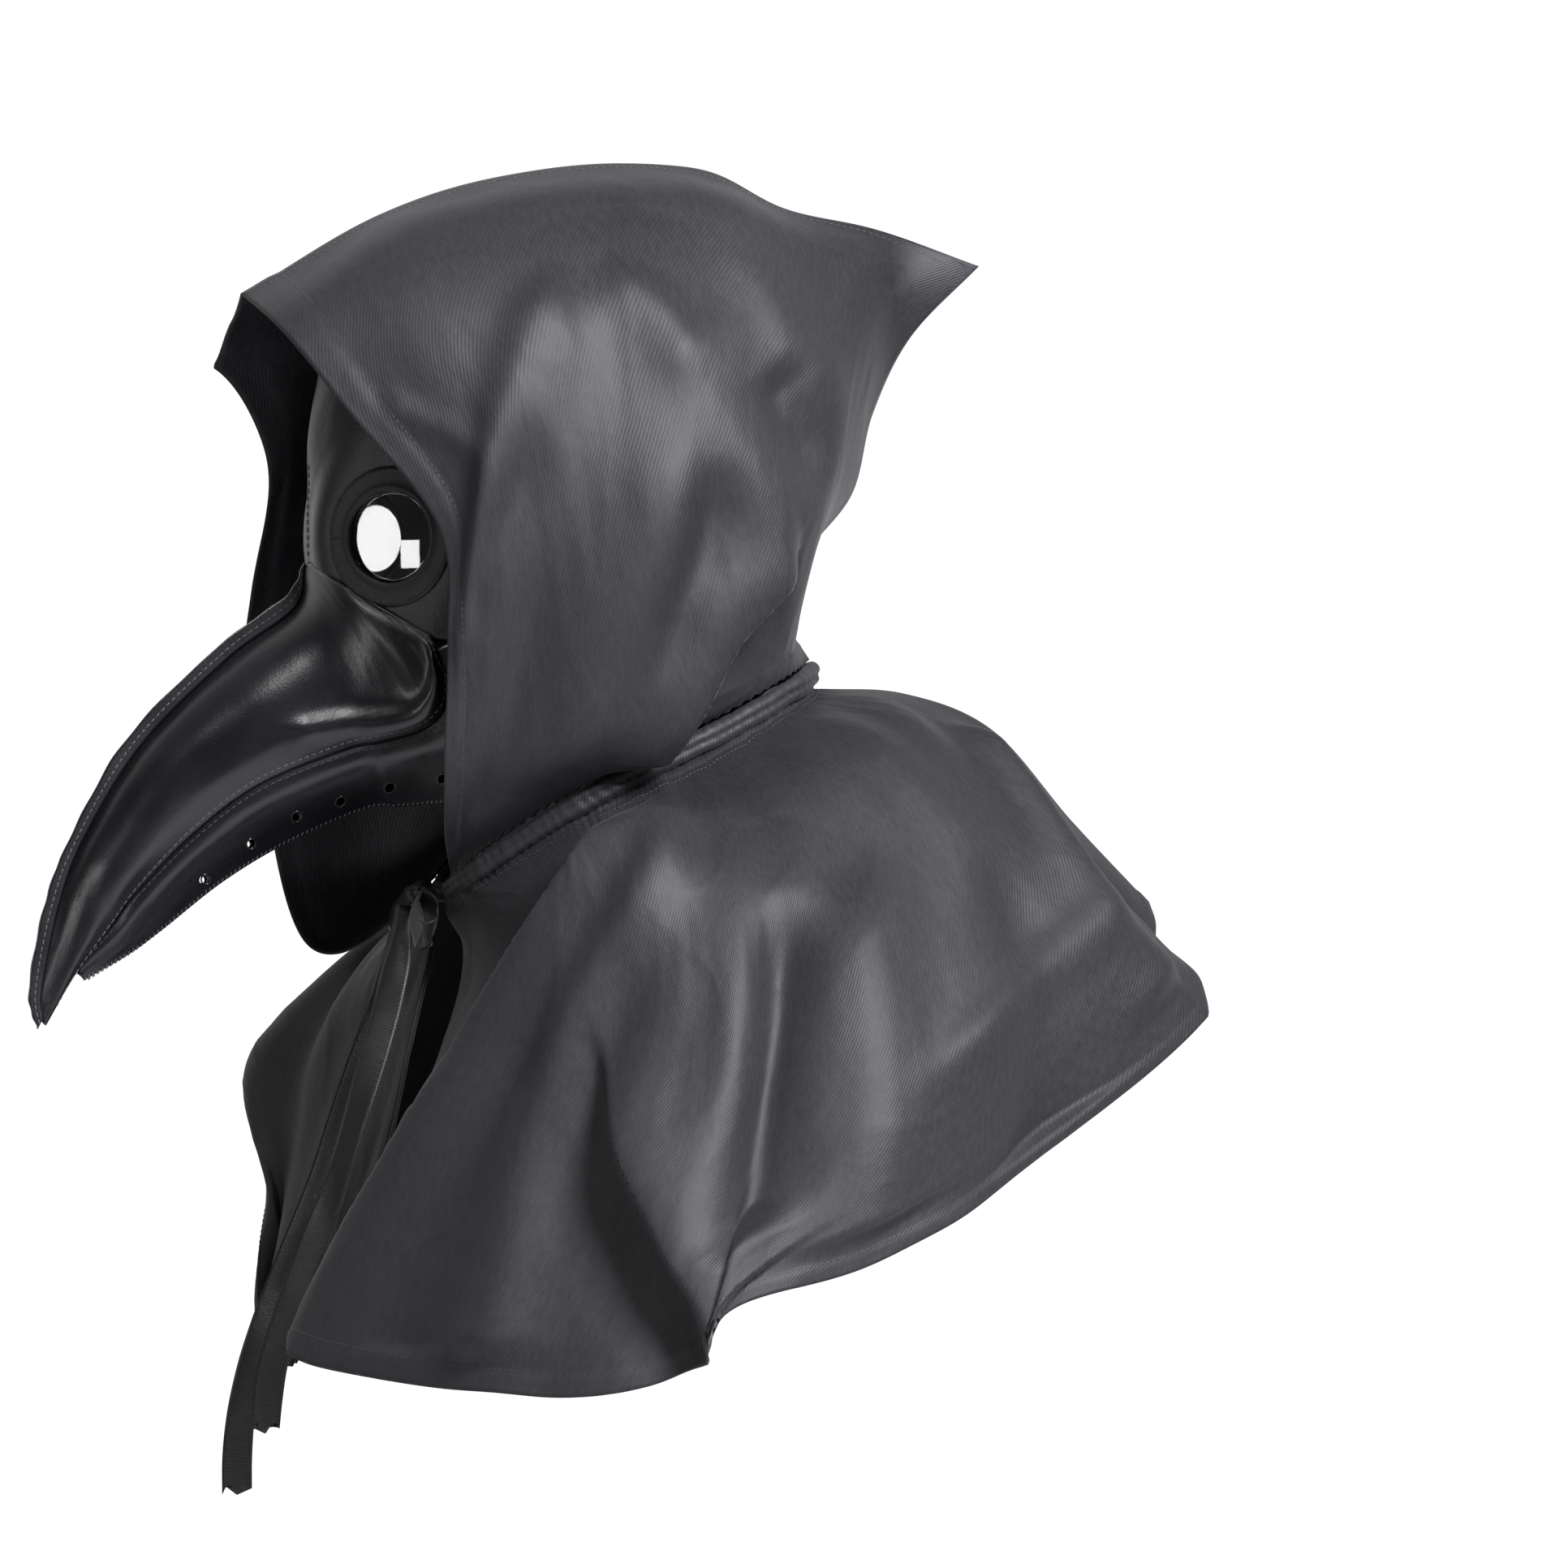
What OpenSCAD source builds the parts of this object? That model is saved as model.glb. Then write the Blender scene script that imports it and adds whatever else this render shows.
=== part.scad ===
// Beaked leather mask worn in a hooded satin capelet.
// Frame: the wearer faces -Y, +X is the wearer's left, +Z is up, origin in the head at eye level.

/* [Mask] */
// Thickness of the mask leather
leather_t = 1.4; // [1:0.1:2]
// Half width of the mask at the temples
temple_half_w = 88; // [84:1:90]
// Distance from the temples to the front of the forehead
face_depth = 152; // [146:1:156]
// Diameter of the hole in the leather behind each eye ring
eye_hole_d = 46; // [44:1:50]
// Outer diameter of the leather eye ring
eye_ring_d = 66; // [60:1:66]
// Inner diameter of the leather eye ring
eye_ring_bore = 43; // [38:1:44]
// Diameter of the clear lens
lens_d = 56; // [52:1:58]
// Thickness of the clear lens
lens_t = 0.8; // [0.6:0.1:1.2]
// Diameter of a punched vent hole
vent_d = 4.2; // [3:0.1:5]
// Width of the elastic head strap
strap_w = 24; // [18:1:28]
// Thickness of the elastic head strap
strap_t = 1.6; // [1.2:0.1:2]

/* [Cloth] */
// Thickness of the cloth panels, folded edges included
cloth_t = 1.6; // [1.2:0.1:2]
// Outer radius of the rolled neck band
band_r = 4.5; // [4:0.1:5]
// Width of the satin ribbon
ribbon_w = 15; // [12:1:18]
// Thickness of the ribbon tails
ribbon_t = 2; // [1.6:0.1:2.4]

/* [Hidden] */

// ---- curves and surfaces -------------------------------------------------------------------
// Smooth curve through points: value at t from 0 to 1 along the whole list
function spline4(a, b, c, d, t) =
    0.5 * (2 * b + (c - a) * t + (2 * a - 5 * b + 4 * c - d) * t * t + (3 * b - a - 3 * c + d) * t * t * t);
function curve(P, t) =
    let(n = len(P) - 1, s = min(max(t, 0), 1) * n, i = min(floor(s), n - 1),
        a = i > 0 ? P[i - 1] : 2 * P[0] - P[1],
        d = i + 2 <= n ? P[i + 2] : 2 * P[n] - P[n - 1])
    spline4(a, P[i], P[i + 1], d, s - i);
// Smooth surface over a net of points: u runs from row to row, v along a row
function surface_point(N, u, v) = curve([for (row = N) curve(row, v)], u);
function surface_grid(N, nu, nv, v0 = 0, v1 = 1) =
    [for (i = [0:nu]) [for (j = [0:nv]) surface_point(N, i / nu, v0 + (v1 - v0) * j / nv)]];
function mirrored(N) = [for (row = N) [for (p = row) [-p[0], p[1], p[2]]]];
function smooth(x) = let(c = min(max(x, 0), 1)) c * c * (3 - 2 * c);
function unit(v) = v / norm(v);
function mid_unit(v) = unit([0, v[1], v[2]]);

// Outward normal at a grid point; a seam edge keeps its normal in the plane X = 0
function grid_normal(G, i, j, seam) =
    let(n = len(G) - 1, m = len(G[0]) - 1,
        a = G[min(i + 1, n)][j] - G[max(i - 1, 0)][j],
        b = G[i][min(j + 1, m)] - G[i][max(j - 1, 0)],
        v = unit(cross(a, b)))
    ((seam[0] && j == 0) || (seam[1] && i == n) || (seam[2] && j == m)) ? mid_unit(v) : v;

// Closed shell of one thickness under a grid of outer points. seam marks the edges that lie in the plane X = 0:
// first column, last row, last column. flip is for grids that run the other way round.
module shell(G, t, seam = [false, false, false], flip = false) {
    n = len(G) - 1;
    m = len(G[0]) - 1;
    side = flip ? 1 : -1;
    outer = [for (i = [0:n]) for (j = [0:m]) G[i][j]];
    inner = [for (i = [0:n]) for (j = [0:m]) G[i][j] + side * t * grid_normal(G, i, j, seam)];
    k = (n + 1) * (m + 1);
    function at(i, j) = i * (m + 1) + j;
    top = [for (i = [0:n - 1]) for (j = [0:m - 1])
        each [[at(i, j), at(i, j + 1), at(i + 1, j)], [at(i + 1, j), at(i, j + 1), at(i + 1, j + 1)]]];
    under = [for (f = top) [f[2] + k, f[1] + k, f[0] + k]];
    rim = concat([for (i = [0:n]) at(i, 0)], [for (j = [1:m]) at(n, j)],
        [for (i = [n - 1:-1:0]) at(i, m)], [for (j = [m - 1:-1:1]) at(0, j)]);
    q = len(rim);
    walls = [for (a = [0:q - 1]) let(b = (a + 1) % q)
        each [[rim[a], rim[b], rim[a] + k], [rim[b], rim[b] + k, rim[a] + k]]];
    faces = concat(top, under, walls);
    polyhedron(concat(outer, inner), flip ? [for (f = faces) [f[2], f[1], f[0]]] : faces, 4);
}

// Closed tube swept along points: section is a ring of [across, up] offsets, side is the across direction
module sweep(P, section, side_dir) {
    n = len(P) - 1;
    s = len(section);
    pts = [for (i = [0:n])
        let(tan = unit(P[min(i + 1, n)] - P[max(i - 1, 0)]),
            across = unit(side_dir[i] - tan * (side_dir[i] * tan)), up = cross(tan, across))
        for (q = section) P[i] + across * q[0] + up * q[1]];
    tube(pts, n, s);
}
// Skin of a tube made of n + 1 rings of s points
module tube(pts, n, s) {
    body = [for (i = [0:n - 1]) for (j = [0:s - 1]) let(k = (j + 1) % s, a = i * s, b = a + s)
        each [[a + j, b + j, a + k], [a + k, b + j, b + k]]];
    ends = [[for (j = [0:s - 1]) j], [for (j = [s - 1:-1:0]) n * s + j]];
    polyhedron(pts, concat(body, ends), 4);
}
function ring_section(rx, ry, sides) = [for (a = [0:sides - 1]) [rx * cos(360 * a / sides), ry * sin(360 * a / sides)]];

// ---- mask ------------------------------------------------------------------------------------
temple_y = 30;
eye_angle = 38;
eye_flat_r = 34;
eye_blend = 22;
eye_sink = 1.8;
eye_normal = unit([sin(eye_angle) / temple_half_w, -cos(eye_angle) / face_depth, 0]);
eye_centre = [temple_half_w * sin(eye_angle), temple_y - face_depth * cos(eye_angle), 0] - eye_sink * eye_normal;

// The forehead wraps as half an ellipse, and is flat under the eye rings
function wrap_point(a, z) =
    let(w = temple_half_w - 10 * smooth((z - 40) / 60))
    [w * sin(a), temple_y - face_depth * cos(a) + 8 * smooth((z - 40) / 60) * cos(a), z];
function flatten_eye(p) =
    let(side = p[0] < 0 ? -1 : 1, q = [side * p[0], p[1], p[2]], d = q - eye_centre, h = d * eye_normal,
        r = norm(d - h * eye_normal), k = 1 - smooth((r - eye_flat_r) / eye_blend),
        f = q - k * h * eye_normal)
    [side * f[0], f[1], f[2]];
// Lower and upper edge heights at even steps from the front (0) to the temple's rear edge (1)
FACE_LOW = [-12, -14, -19, -28, -44, -48, -45, -41, -36];
FACE_HIGH = [86, 88, 90, 91, 91, 89, 83, 74, 62];
function face_point(p, q) =
    let(u = abs(p), z = curve(FACE_LOW, u) * (1 - q) + curve(FACE_HIGH, u) * q,
        last = 91 - 9 * smooth((20 - z) / 40), a = last * p)
    flatten_eye(wrap_point(a, z));

// Ridge flange: the line along its outer edge and the line where the beak panel turns out of it
RIDGE_EDGE = [[1.6, -249, -230], [1.6, -253, -212], [1.6, -246, -173], [1.6, -234, -141], [1.6, -207, -94],
    [1.6, -164, -51], [1.6, -132, -27], [1.6, -124, -12]];
// Beak side, tip to cheek: each row runs from the flange root to the jaw seam
BEAK = [
    [[1.6, -247, -226], [2.2, -246.5, -226.5], [2.8, -246, -227], [2.6, -245.5, -227.5], [1.8, -245, -228]],
    [[1.6, -247, -211], [4, -244, -210], [6, -240, -209], [6.5, -236, -208], [5, -232, -205]],
    [[1.6, -239, -172], [8, -234, -173], [12, -228, -176], [13, -222, -180], [9, -215, -182]],
    [[1.6, -228, -142], [12, -224, -145], [19, -217, -151], [20, -210, -160], [15, -203, -165]],
    [[1.6, -201, -98], [16, -198, -103], [27, -192, -112], [29, -185, -126], [24, -176, -137]],
    [[1.6, -160, -57], [18, -158, -64], [33, -154, -78], [39, -150, -99], [34, -147, -115]],
    [[1.6, -128, -33], [24, -124, -39], [43, -118, -56], [51, -112, -80], [46, -108, -99]],
    [[1.6, -123.5, -13], [30, -118, -22], [51, -106, -44], [58, -98, -76], [52, -93, -96]],
    [[31, -115, -19], [46, -107, -27], [59, -95, -46], [66, -81, -73], [61, -74, -90]],
    [[48, -98, -30], [57, -90, -37], [65, -80, -50], [70, -69.5, -68], [67, -65, -80]],
    [[67, -72, -46], [68.5, -70, -50], [70, -68, -54], [71, -66.5, -59], [70, -65, -63]]];
// Jaw, tip to rear edge: each row runs from the beak seam (later the temple seam) to the keel root (later free edge)
JAW_REST = [
    [[1.8, -229.5, -203], [2, -228.5, -205], [1.6, -227, -207]],
    [[5, -229, -199], [4, -227, -202], [1.6, -222, -204]],
    [[9, -215, -182], [9, -212, -189], [1.6, -205, -194]],
    [[15, -203, -165], [14, -198, -174], [1.6, -190, -183]],
    [[24, -176, -137], [22, -170, -148], [1.6, -162, -161]],
    [[34, -147, -115], [31, -140, -128], [1.6, -132, -143]],
    [[46, -108, -99], [42, -102, -112], [8, -96, -127]],
    [[52, -93, -96], [49, -88, -109], [14, -80, -126]],
    [[61, -74, -90], [58, -68, -104], [26, -60, -124]],
    [[67, -65, -80], [66, -56, -98], [40, -45, -122]],
    [[70, -65, -63], [74, -46, -92], [53, -30, -122]],
    [[70, -67, -51], [78, -40, -84], [60, -18, -125]],
    [[82, -25, -43], [83, -12, -84], [63, -2, -127]],
    [[87, 8, -37], [84, 13, -84], [65, 12, -129]]];
JAW = [for (row = JAW_REST) [row[0], (row[0] + 2 * row[1]) / 3 + [1, 0, 0], (2 * row[1] + row[2]) / 3, row[2]]];

module face_panel_shape() {
    nu = 24;
    nv = 10;
    shell([for (i = [-nu:nu]) [for (j = [0:nv]) face_point(i / nu, j / nv)]], leather_t, flip = false);
}
module at_eye(h) {
    translate(eye_centre + h * eye_normal)
        rotate([0, 90, atan2(eye_normal[1], eye_normal[0])])
            children();
}
module face_panel() {
    color("#17171a")
        difference() {
            face_panel_shape();
            at_eye(-8) cylinder(d = eye_hole_d, h = 16, $fn = 64);
            mirror([1, 0, 0]) at_eye(-8) cylinder(d = eye_hole_d, h = 16, $fn = 64);
        }
}
// The panel never crosses its own side of the ridge
function beak_side(p) = [max(p[0], 1.6), p[1], p[2]];
module beak_left() {
    color("#1b1b1f")
        shell([for (row = surface_grid(BEAK, 40, 10)) [for (p = row) beak_side(p)]], leather_t, flip = true);
    color("#1b1b1f") ridge_flange();
}
module ridge_flange() {
    n = 28;
    share = (len(RIDGE_EDGE) - 1) / (len(BEAK) - 1);
    shell([for (i = [0:n])
        let(edge = curve(RIDGE_EDGE, i / n), root = beak_side(surface_point(BEAK, share * i / n, 0)))
        [edge, root + 0.8 * mid_unit(root - edge)]], leather_t, flip = true);
}
module beak_right() {
    mirror([1, 0, 0]) beak_left();
}
// Vent holes follow the keel, a little above it
VENTS = [[-172, -160], [-150, -143], [-130, -131], [-109, -123], [-87, -117], [-64, -113], [-41, -112]];
module jaw_left() {
    color("#1b1b1f")
        difference() {
            shell(surface_grid(JAW, 39, 8), leather_t, flip = true);
            for (v = VENTS)
                translate([4, v[0], v[1]]) rotate([0, 90, 0]) cylinder(d = vent_d, h = 90, $fn = 24);
        }
}
module jaw_right() {
    mirror([1, 0, 0]) jaw_left();
}
module eye_ring_left() {
    color("#101012")
        at_eye(0.05)
            difference() {
                cylinder(d = eye_ring_d, h = leather_t, $fn = 96);
                translate([0, 0, -1]) cylinder(d = eye_ring_bore, h = leather_t + 2, $fn = 96);
            }
}
module eye_ring_right() {
    mirror([1, 0, 0]) eye_ring_left();
}
module lens_left() {
    color("#dfe6ea") at_eye(-leather_t - lens_t - 0.1) cylinder(d = lens_d, h = lens_t, $fn = 96);
}
module lens_right() {
    mirror([1, 0, 0]) lens_left();
}
STRAP = [[81, 20, 48], [82.5, 38, 46], [80, 62, 40], [67, 88, 33], [42, 106, 28], [0, 114, 26]];
module head_strap() {
    half = [for (i = [0:12]) curve(STRAP, i / 12)];
    route = concat(half, [for (i = [11:-1:0]) [-half[i][0], half[i][1], half[i][2]]]);
    flat = [[-strap_w / 2, -strap_t / 2], [strap_w / 2, -strap_t / 2], [strap_w / 2, strap_t / 2], [-strap_w / 2, strap_t / 2]];
    color("#0c0c0e") sweep(route, flat, [for (p = route) [0, 0, 1]]);
}

// ---- hood ------------------------------------------------------------------------------------
// Each row is a hoop from the crest down to the neck seam; rows run from the face opening to the back seam.
// The hood folds back about the nape, so the part below column 5 is a separate, fixed piece.
HOOD_BACK = [
    [[0.2, 38, 174], [60, 40, 157], [102, 42, 112], [124, 44, 44], [122, 46, -22], [104, 46, -74], [91, 38, -92],
        [80, 26, -101]],
    [[0.2, 100, 154], [46, 98, 138], [84, 94, 96], [104, 90, 40], [100, 84, -16], [78, 76, -58], [71, 72, -73],
        [64, 65, -83]],
    [[0.2, 146, 144], [28, 138, 122], [54, 128, 78], [70, 118, 34], [62, 108, -8], [42, 101, -48], [39, 101, -57],
        [35, 101, -64]],
    [[0.2, 194, 127], [0.2, 162, 94], [0.2, 144, 58], [0.2, 134, 20], [0.2, 110, -12], [0.2, 107, -43],
        [0.2, 110, -51], [0.2, 114, -57]]];
HOOD_LEFT = concat([
    [[0.2, -153, 113], [68, -141, 95], [100, -114, 58], [112, -73, 4], [111, -68, -50], [102, -69, -104],
        [76, -66, -138], [20, -57, -158]],
    [[0.2, -90, 150], [64, -86, 136], [106, -76, 98], [126, -48, 40], [126, -40, -25], [112, -38, -94],
        [86, -40, -126], [51, -43, -144]],
    [[0.2, -30, 169], [64, -26, 154], [108, -18, 110], [128, -6, 42], [128, 0, -28], [114, 2, -84],
        [96, 0, -108], [77, -8, -120]]], HOOD_BACK);
HOOD_RIGHT = mirrored(concat([
    [[0.2, -153, 113], [80, -151, 86], [100, -130, 32], [102, -138, -25], [100, -142, -66], [88, -138, -105],
        [46, -118, -172], [20, -66, -158]],
    [[0.2, -90, 150], [70, -90, 134], [108, -86, 92], [120, -84, 36], [122, -84, -28], [112, -84, -96],
        [78, -74, -154], [51, -44, -144]],
    [[0.2, -30, 169], [66, -28, 154], [110, -22, 108], [128, -18, 42], [128, -16, -28], [114, -12, -86],
        [96, -10, -116], [77, -8, -120]]], HOOD_BACK));
hood_split = 5 / 7;
split_gap = 0.004;
hood_nu = 24;
module hood_left() {
    color("#3a3a40") shell(surface_grid(HOOD_LEFT, hood_nu, 15, 0, hood_split - split_gap), cloth_t,
        [true, true, false], flip = true);
}
module hood_right() {
    color("#3a3a40") shell(surface_grid(HOOD_RIGHT, hood_nu, 15, 0, hood_split - split_gap), cloth_t,
        [true, true, false]);
}
module hood_neck_left() {
    color("#35353b") shell(surface_grid(HOOD_LEFT, hood_nu, 4, hood_split + split_gap, 1), cloth_t,
        [false, true, false], flip = true);
}
module hood_neck_right() {
    color("#35353b") shell(surface_grid(HOOD_RIGHT, hood_nu, 5, hood_split + split_gap, 1), cloth_t,
        [false, true, false]);
}

// ---- neck band, ribbon and bow ---------------------------------------------------------------
NECK_HALF = [[24, -58, -166], [51, -44, -152], [78, -8, -127], [82, 27, -108], [65, 66, -90], [36, 102, -71], [0, 115, -64]];
neck_steps = 24;
NECK_SIDE = [for (i = [0:neck_steps]) curve(NECK_HALF, i / neck_steps)];
NECK = concat(NECK_SIDE, [for (i = [neck_steps - 1:-1:0]) [-NECK_SIDE[i][0], NECK_SIDE[i][1], NECK_SIDE[i][2]]]);
band_wall = 1.2;
knot_centre = [2, -69, -167];
module neck_band() {
    color("#26262b")
        difference() {
            sweep(NECK, ring_section(band_r, band_r, 8), [for (p = NECK) [0, 0, 1]]);
            sweep(concat([2 * NECK[0] - NECK[1]], NECK, [2 * NECK[len(NECK) - 1] - NECK[len(NECK) - 2]]),
                ring_section(band_r - band_wall, band_r - band_wall, 8), [for (i = [0:len(NECK) + 1]) [0, 0, 1]]);
        }
}
module neck_ribbon() {
    route = concat([knot_centre + [5, 1, 0], [15, -64, -167]], NECK, [[-15, -64, -167], knot_centre + [-5, 1, 0]]);
    flat = [[-2.4, -0.7], [2.4, -0.7], [2.4, 0.7], [-2.4, 0.7]];
    color("#141416") sweep(route, flat, [for (p = route) [0, 0, 1]]);
}
module bow_knot() {
    color("#141416")
        translate(knot_centre)
            hull() {
                translate([-2.5, 0, 1]) sphere(d = 10, $fn = 24);
                translate([3, 0, -1]) sphere(d = 11, $fn = 24);
            }
}
loop_length = 36;
loop_bulge = 6;
loop_t = 1.2;
// Teardrop outline of one ribbon loop, hanging from its point
function loop_outline(grow) =
    [for (a = [0:15:345]) let(s = (1 - cos(a)) / 2)
        [(loop_bulge + grow) * sin(a) * (0.35 + 0.65 * s), grow * cos(a) - loop_length * s]];
module bow_loop(at, lean, tilt) {
    translate(knot_centre + at) rotate([-tilt, 0, 0]) rotate([0, lean, 0])
        rotate([90, 0, 90])
            linear_extrude(ribbon_w, center = true)
                difference() {
                    polygon(loop_outline(0));
                    polygon(loop_outline(-loop_t));
                }
}
module bow_loop_left() {
    color("#1d1d21") bow_loop([11, -1, 1], -58, 4);
}
module bow_loop_right() {
    color("#1d1d21") bow_loop([-11, -2, 1], 54, 12);
}
// Routes of the two hanging ribbon tails
TAIL_LEFT = [[5, -77, -172], [6, -79, -190], [8, -83, -207], [8, -87, -224], [9, -92, -241], [9, -97, -258],
    [8, -102, -275], [7, -107, -292], [6, -112, -308], [5, -118, -324], [4, -124, -340], [3, -130, -356],
    [2, -135, -372], [1, -139, -388], [0, -141, -403], [0, -142, -418]];
TAIL_RIGHT = [[-4, -77, -172], [-6, -80, -191], [-8, -84, -209], [-9, -89, -227], [-10, -95, -245],
    [-11, -101, -263], [-12, -107, -281], [-12, -113, -299], [-12, -120, -317], [-12, -127, -334],
    [-13, -134, -351], [-13, -141, -368], [-13, -147, -385], [-13, -151, -402], [-13, -153, -417],
    [-13, -154, -432], [-13, -154, -447]];
// The flat side of a tail turns to face partly sideways, and the ribbon is pinched where it leaves the knot
tail_pinch = 0.5;
module ribbon_tail(route, turn) {
    steps = 30;
    line = [for (i = [0:steps]) curve(route, i / steps)];
    n = 8;
    pts = [for (i = [0:steps])
        let(tan = unit(line[min(i + 1, steps)] - line[max(i - 1, 0)]), side = [cos(turn), sin(turn), 0],
            across = unit(side - tan * (side * tan)), up = cross(tan, across),
            wide = ribbon_w / 2 * (tail_pinch + (1 - tail_pinch) * smooth(8 * i / steps)))
        for (a = [0:n - 1])
            line[i] + across * wide * cos(360 * a / n) + up * ribbon_t / 2 * sin(360 * a / n)];
    tube(pts, steps, n);
}
module ribbon_tail_left() {
    color("#1d1d21") ribbon_tail(TAIL_LEFT, 52);
}
module ribbon_tail_right() {
    color("#1d1d21") ribbon_tail(TAIL_RIGHT, 62);
}

// ---- cape ------------------------------------------------------------------------------------
// Each row runs from the neck seam down to the hem; rows run from the open front edge to the centre back seam.
CAPE_LEFT = [
    [[26, -60, -173], [18, -58, -205], [24, -76, -258], [32, -97, -318], [40, -123, -383]],
    [[51, -44, -159], [96, -26, -172], [102, -48, -232], [92, -82, -300], [74, -121, -387]],
    [[78, -8, -134], [128, 4, -165], [152, -10, -235], [160, -36, -315], [162, -60, -395]],
    [[82, 27, -115], [150, 38, -160], [188, 38, -230], [206, 24, -310], [212, -4, -391]],
    [[74, 48, -107], [140, 72, -145], [192, 78, -215], [216, 68, -290], [228, 50, -355]],
    [[62, 71, -95], [114, 110, -125], [166, 128, -190], [194, 134, -265], [206, 122, -334]],
    [[46, 93, -83], [80, 142, -100], [120, 182, -160], [142, 206, -225], [144, 204, -288]],
    [[24, 109, -75], [42, 158, -84], [62, 212, -132], [68, 254, -184], [64, 286, -224]],
    [[0.2, 115, -71], [0.2, 158, -73], [0.2, 200, -90], [0.2, 238, -133], [0.2, 274, -171]]];
CAPE_RIGHT = mirrored([
    [[26, -60, -173], [8, -68, -212], [3, -86, -290], [2, -112, -350], [2, -128, -388]],
    [[51, -44, -159], [74, -82, -200], [66, -104, -256], [60, -122, -322], [52, -143, -384]],
    [[78, -8, -134], [120, -72, -182], [144, -122, -228], [152, -136, -258], [124, -118, -294]],
    [[82, 27, -115], [150, -34, -160], [190, -64, -215], [206, -74, -262], [205, -70, -300]],
    [[74, 48, -107], [150, 24, -140], [204, 10, -205], [226, 2, -262], [230, -2, -300]],
    [[62, 71, -95], [126, 76, -120], [180, 84, -180], [206, 90, -240], [212, 90, -284]],
    [[46, 93, -83], [86, 128, -98], [130, 158, -148], [154, 174, -205], [158, 178, -250]],
    [[24, 109, -75], [44, 150, -80], [68, 196, -115], [84, 232, -165], [86, 252, -205]],
    [[0.2, 115, -71], [0.2, 158, -73], [0.2, 200, -90], [0.2, 238, -133], [0.2, 274, -171]]]);
cape_nu = 24;
cape_nv = 14;
module cape_left() {
    color("#3a3a40") shell(surface_grid(CAPE_LEFT, cape_nu, cape_nv), cloth_t, [false, true, false], flip = true);
}
module cape_right() {
    color("#3a3a40") shell(surface_grid(CAPE_RIGHT, cape_nu, cape_nv), cloth_t, [false, true, false]);
}
// Turned front edge: a strip that lies just inside the cape panel
facing_share = 0.04;
facing_t = 1;
function facing_grid(N, side) =
    let(G = [for (i = [0:2]) [for (j = [0:20]) surface_point(N, i / 2 * facing_share, 0.06 + 0.93 * j / 20)]])
    [for (i = [0:2]) [for (j = [0:20])
        G[i][j] - side * (cloth_t + 0.3) * grid_normal(G, i, j, [false, false, false])]];
module facing_left() {
    color("#2c2c31") shell(facing_grid(CAPE_LEFT, -1), facing_t, flip = true);
}
module facing_right() {
    color("#2c2c31") shell(facing_grid(CAPE_RIGHT, 1), facing_t);
}

face_panel();
beak_left();
beak_right();
jaw_left();
jaw_right();
eye_ring_left();
eye_ring_right();
lens_left();
lens_right();
head_strap();
hood_left();
hood_right();
hood_neck_left();
hood_neck_right();
neck_band();
neck_ribbon();
cape_left();
cape_right();
facing_left();
facing_right();
bow_knot();
bow_loop_left();
bow_loop_right();
ribbon_tail_left();
ribbon_tail_right();
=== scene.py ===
"""Looks of the beaked leather mask in its hooded satin capelet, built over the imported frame.

Nets, routes and sizes are in millimetres, as in the CAD; meshes are made in metres, in the same frame.
The wearer faces -Y and +X is the wearer's left, which is the side that the camera sees.
"""
import math

import bpy
import numpy as np
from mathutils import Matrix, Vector


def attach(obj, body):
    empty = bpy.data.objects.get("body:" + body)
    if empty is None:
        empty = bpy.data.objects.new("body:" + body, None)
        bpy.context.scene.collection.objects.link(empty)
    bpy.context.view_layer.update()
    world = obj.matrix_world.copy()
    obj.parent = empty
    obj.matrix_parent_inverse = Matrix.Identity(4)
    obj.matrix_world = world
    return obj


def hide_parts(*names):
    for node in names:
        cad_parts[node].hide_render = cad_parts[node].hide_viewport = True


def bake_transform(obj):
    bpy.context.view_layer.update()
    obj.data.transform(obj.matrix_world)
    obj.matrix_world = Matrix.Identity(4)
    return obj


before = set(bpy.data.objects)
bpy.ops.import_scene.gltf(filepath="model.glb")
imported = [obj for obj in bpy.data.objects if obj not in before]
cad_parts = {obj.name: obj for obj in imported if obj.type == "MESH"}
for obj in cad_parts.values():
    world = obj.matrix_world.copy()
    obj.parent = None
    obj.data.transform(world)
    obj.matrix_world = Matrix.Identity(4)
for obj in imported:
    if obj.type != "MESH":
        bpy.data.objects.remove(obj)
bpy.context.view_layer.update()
MM = 0.001


# ---- curves, surfaces and meshes ---------------------------------------------------------------
def unit(v):
    return v / np.maximum(np.linalg.norm(v, axis=-1, keepdims=True), 1e-9)


def smooth(x):
    c = np.clip(x, 0, 1)
    return c * c * (3 - 2 * c)


def spline(points, t):
    """Smooth curve through points, at t from 0 to 1; a net gives a blend of its rows."""
    p = np.asarray(points, float)
    n = len(p) - 1
    p = np.concatenate([[2 * p[0] - p[1]], p, [2 * p[-1] - p[-2]]])
    s = np.clip(np.asarray(t, float), 0, 1) * n
    i = np.minimum(s.astype(int), n - 1)
    f = (s - i).reshape((-1,) + (1,) * (p.ndim - 1))
    a, b, c, d = p[i], p[i + 1], p[i + 2], p[i + 3]
    return 0.5 * (2 * b + (c - a) * f + (2 * a - 5 * b + 4 * c - d) * f**2 + (3 * b - a - 3 * c + d) * f**3)


def surface(net, us, vs):
    columns = spline(np.swapaxes(np.asarray(net, float), 0, 1), vs)
    return spline(np.swapaxes(columns, 0, 1), us)


def mirrored(points):
    return np.asarray(points, float) * [-1, 1, 1]


def normals(grid, side):
    return side * unit(np.cross(np.gradient(grid, axis=0), np.gradient(grid, axis=1)))


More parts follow.
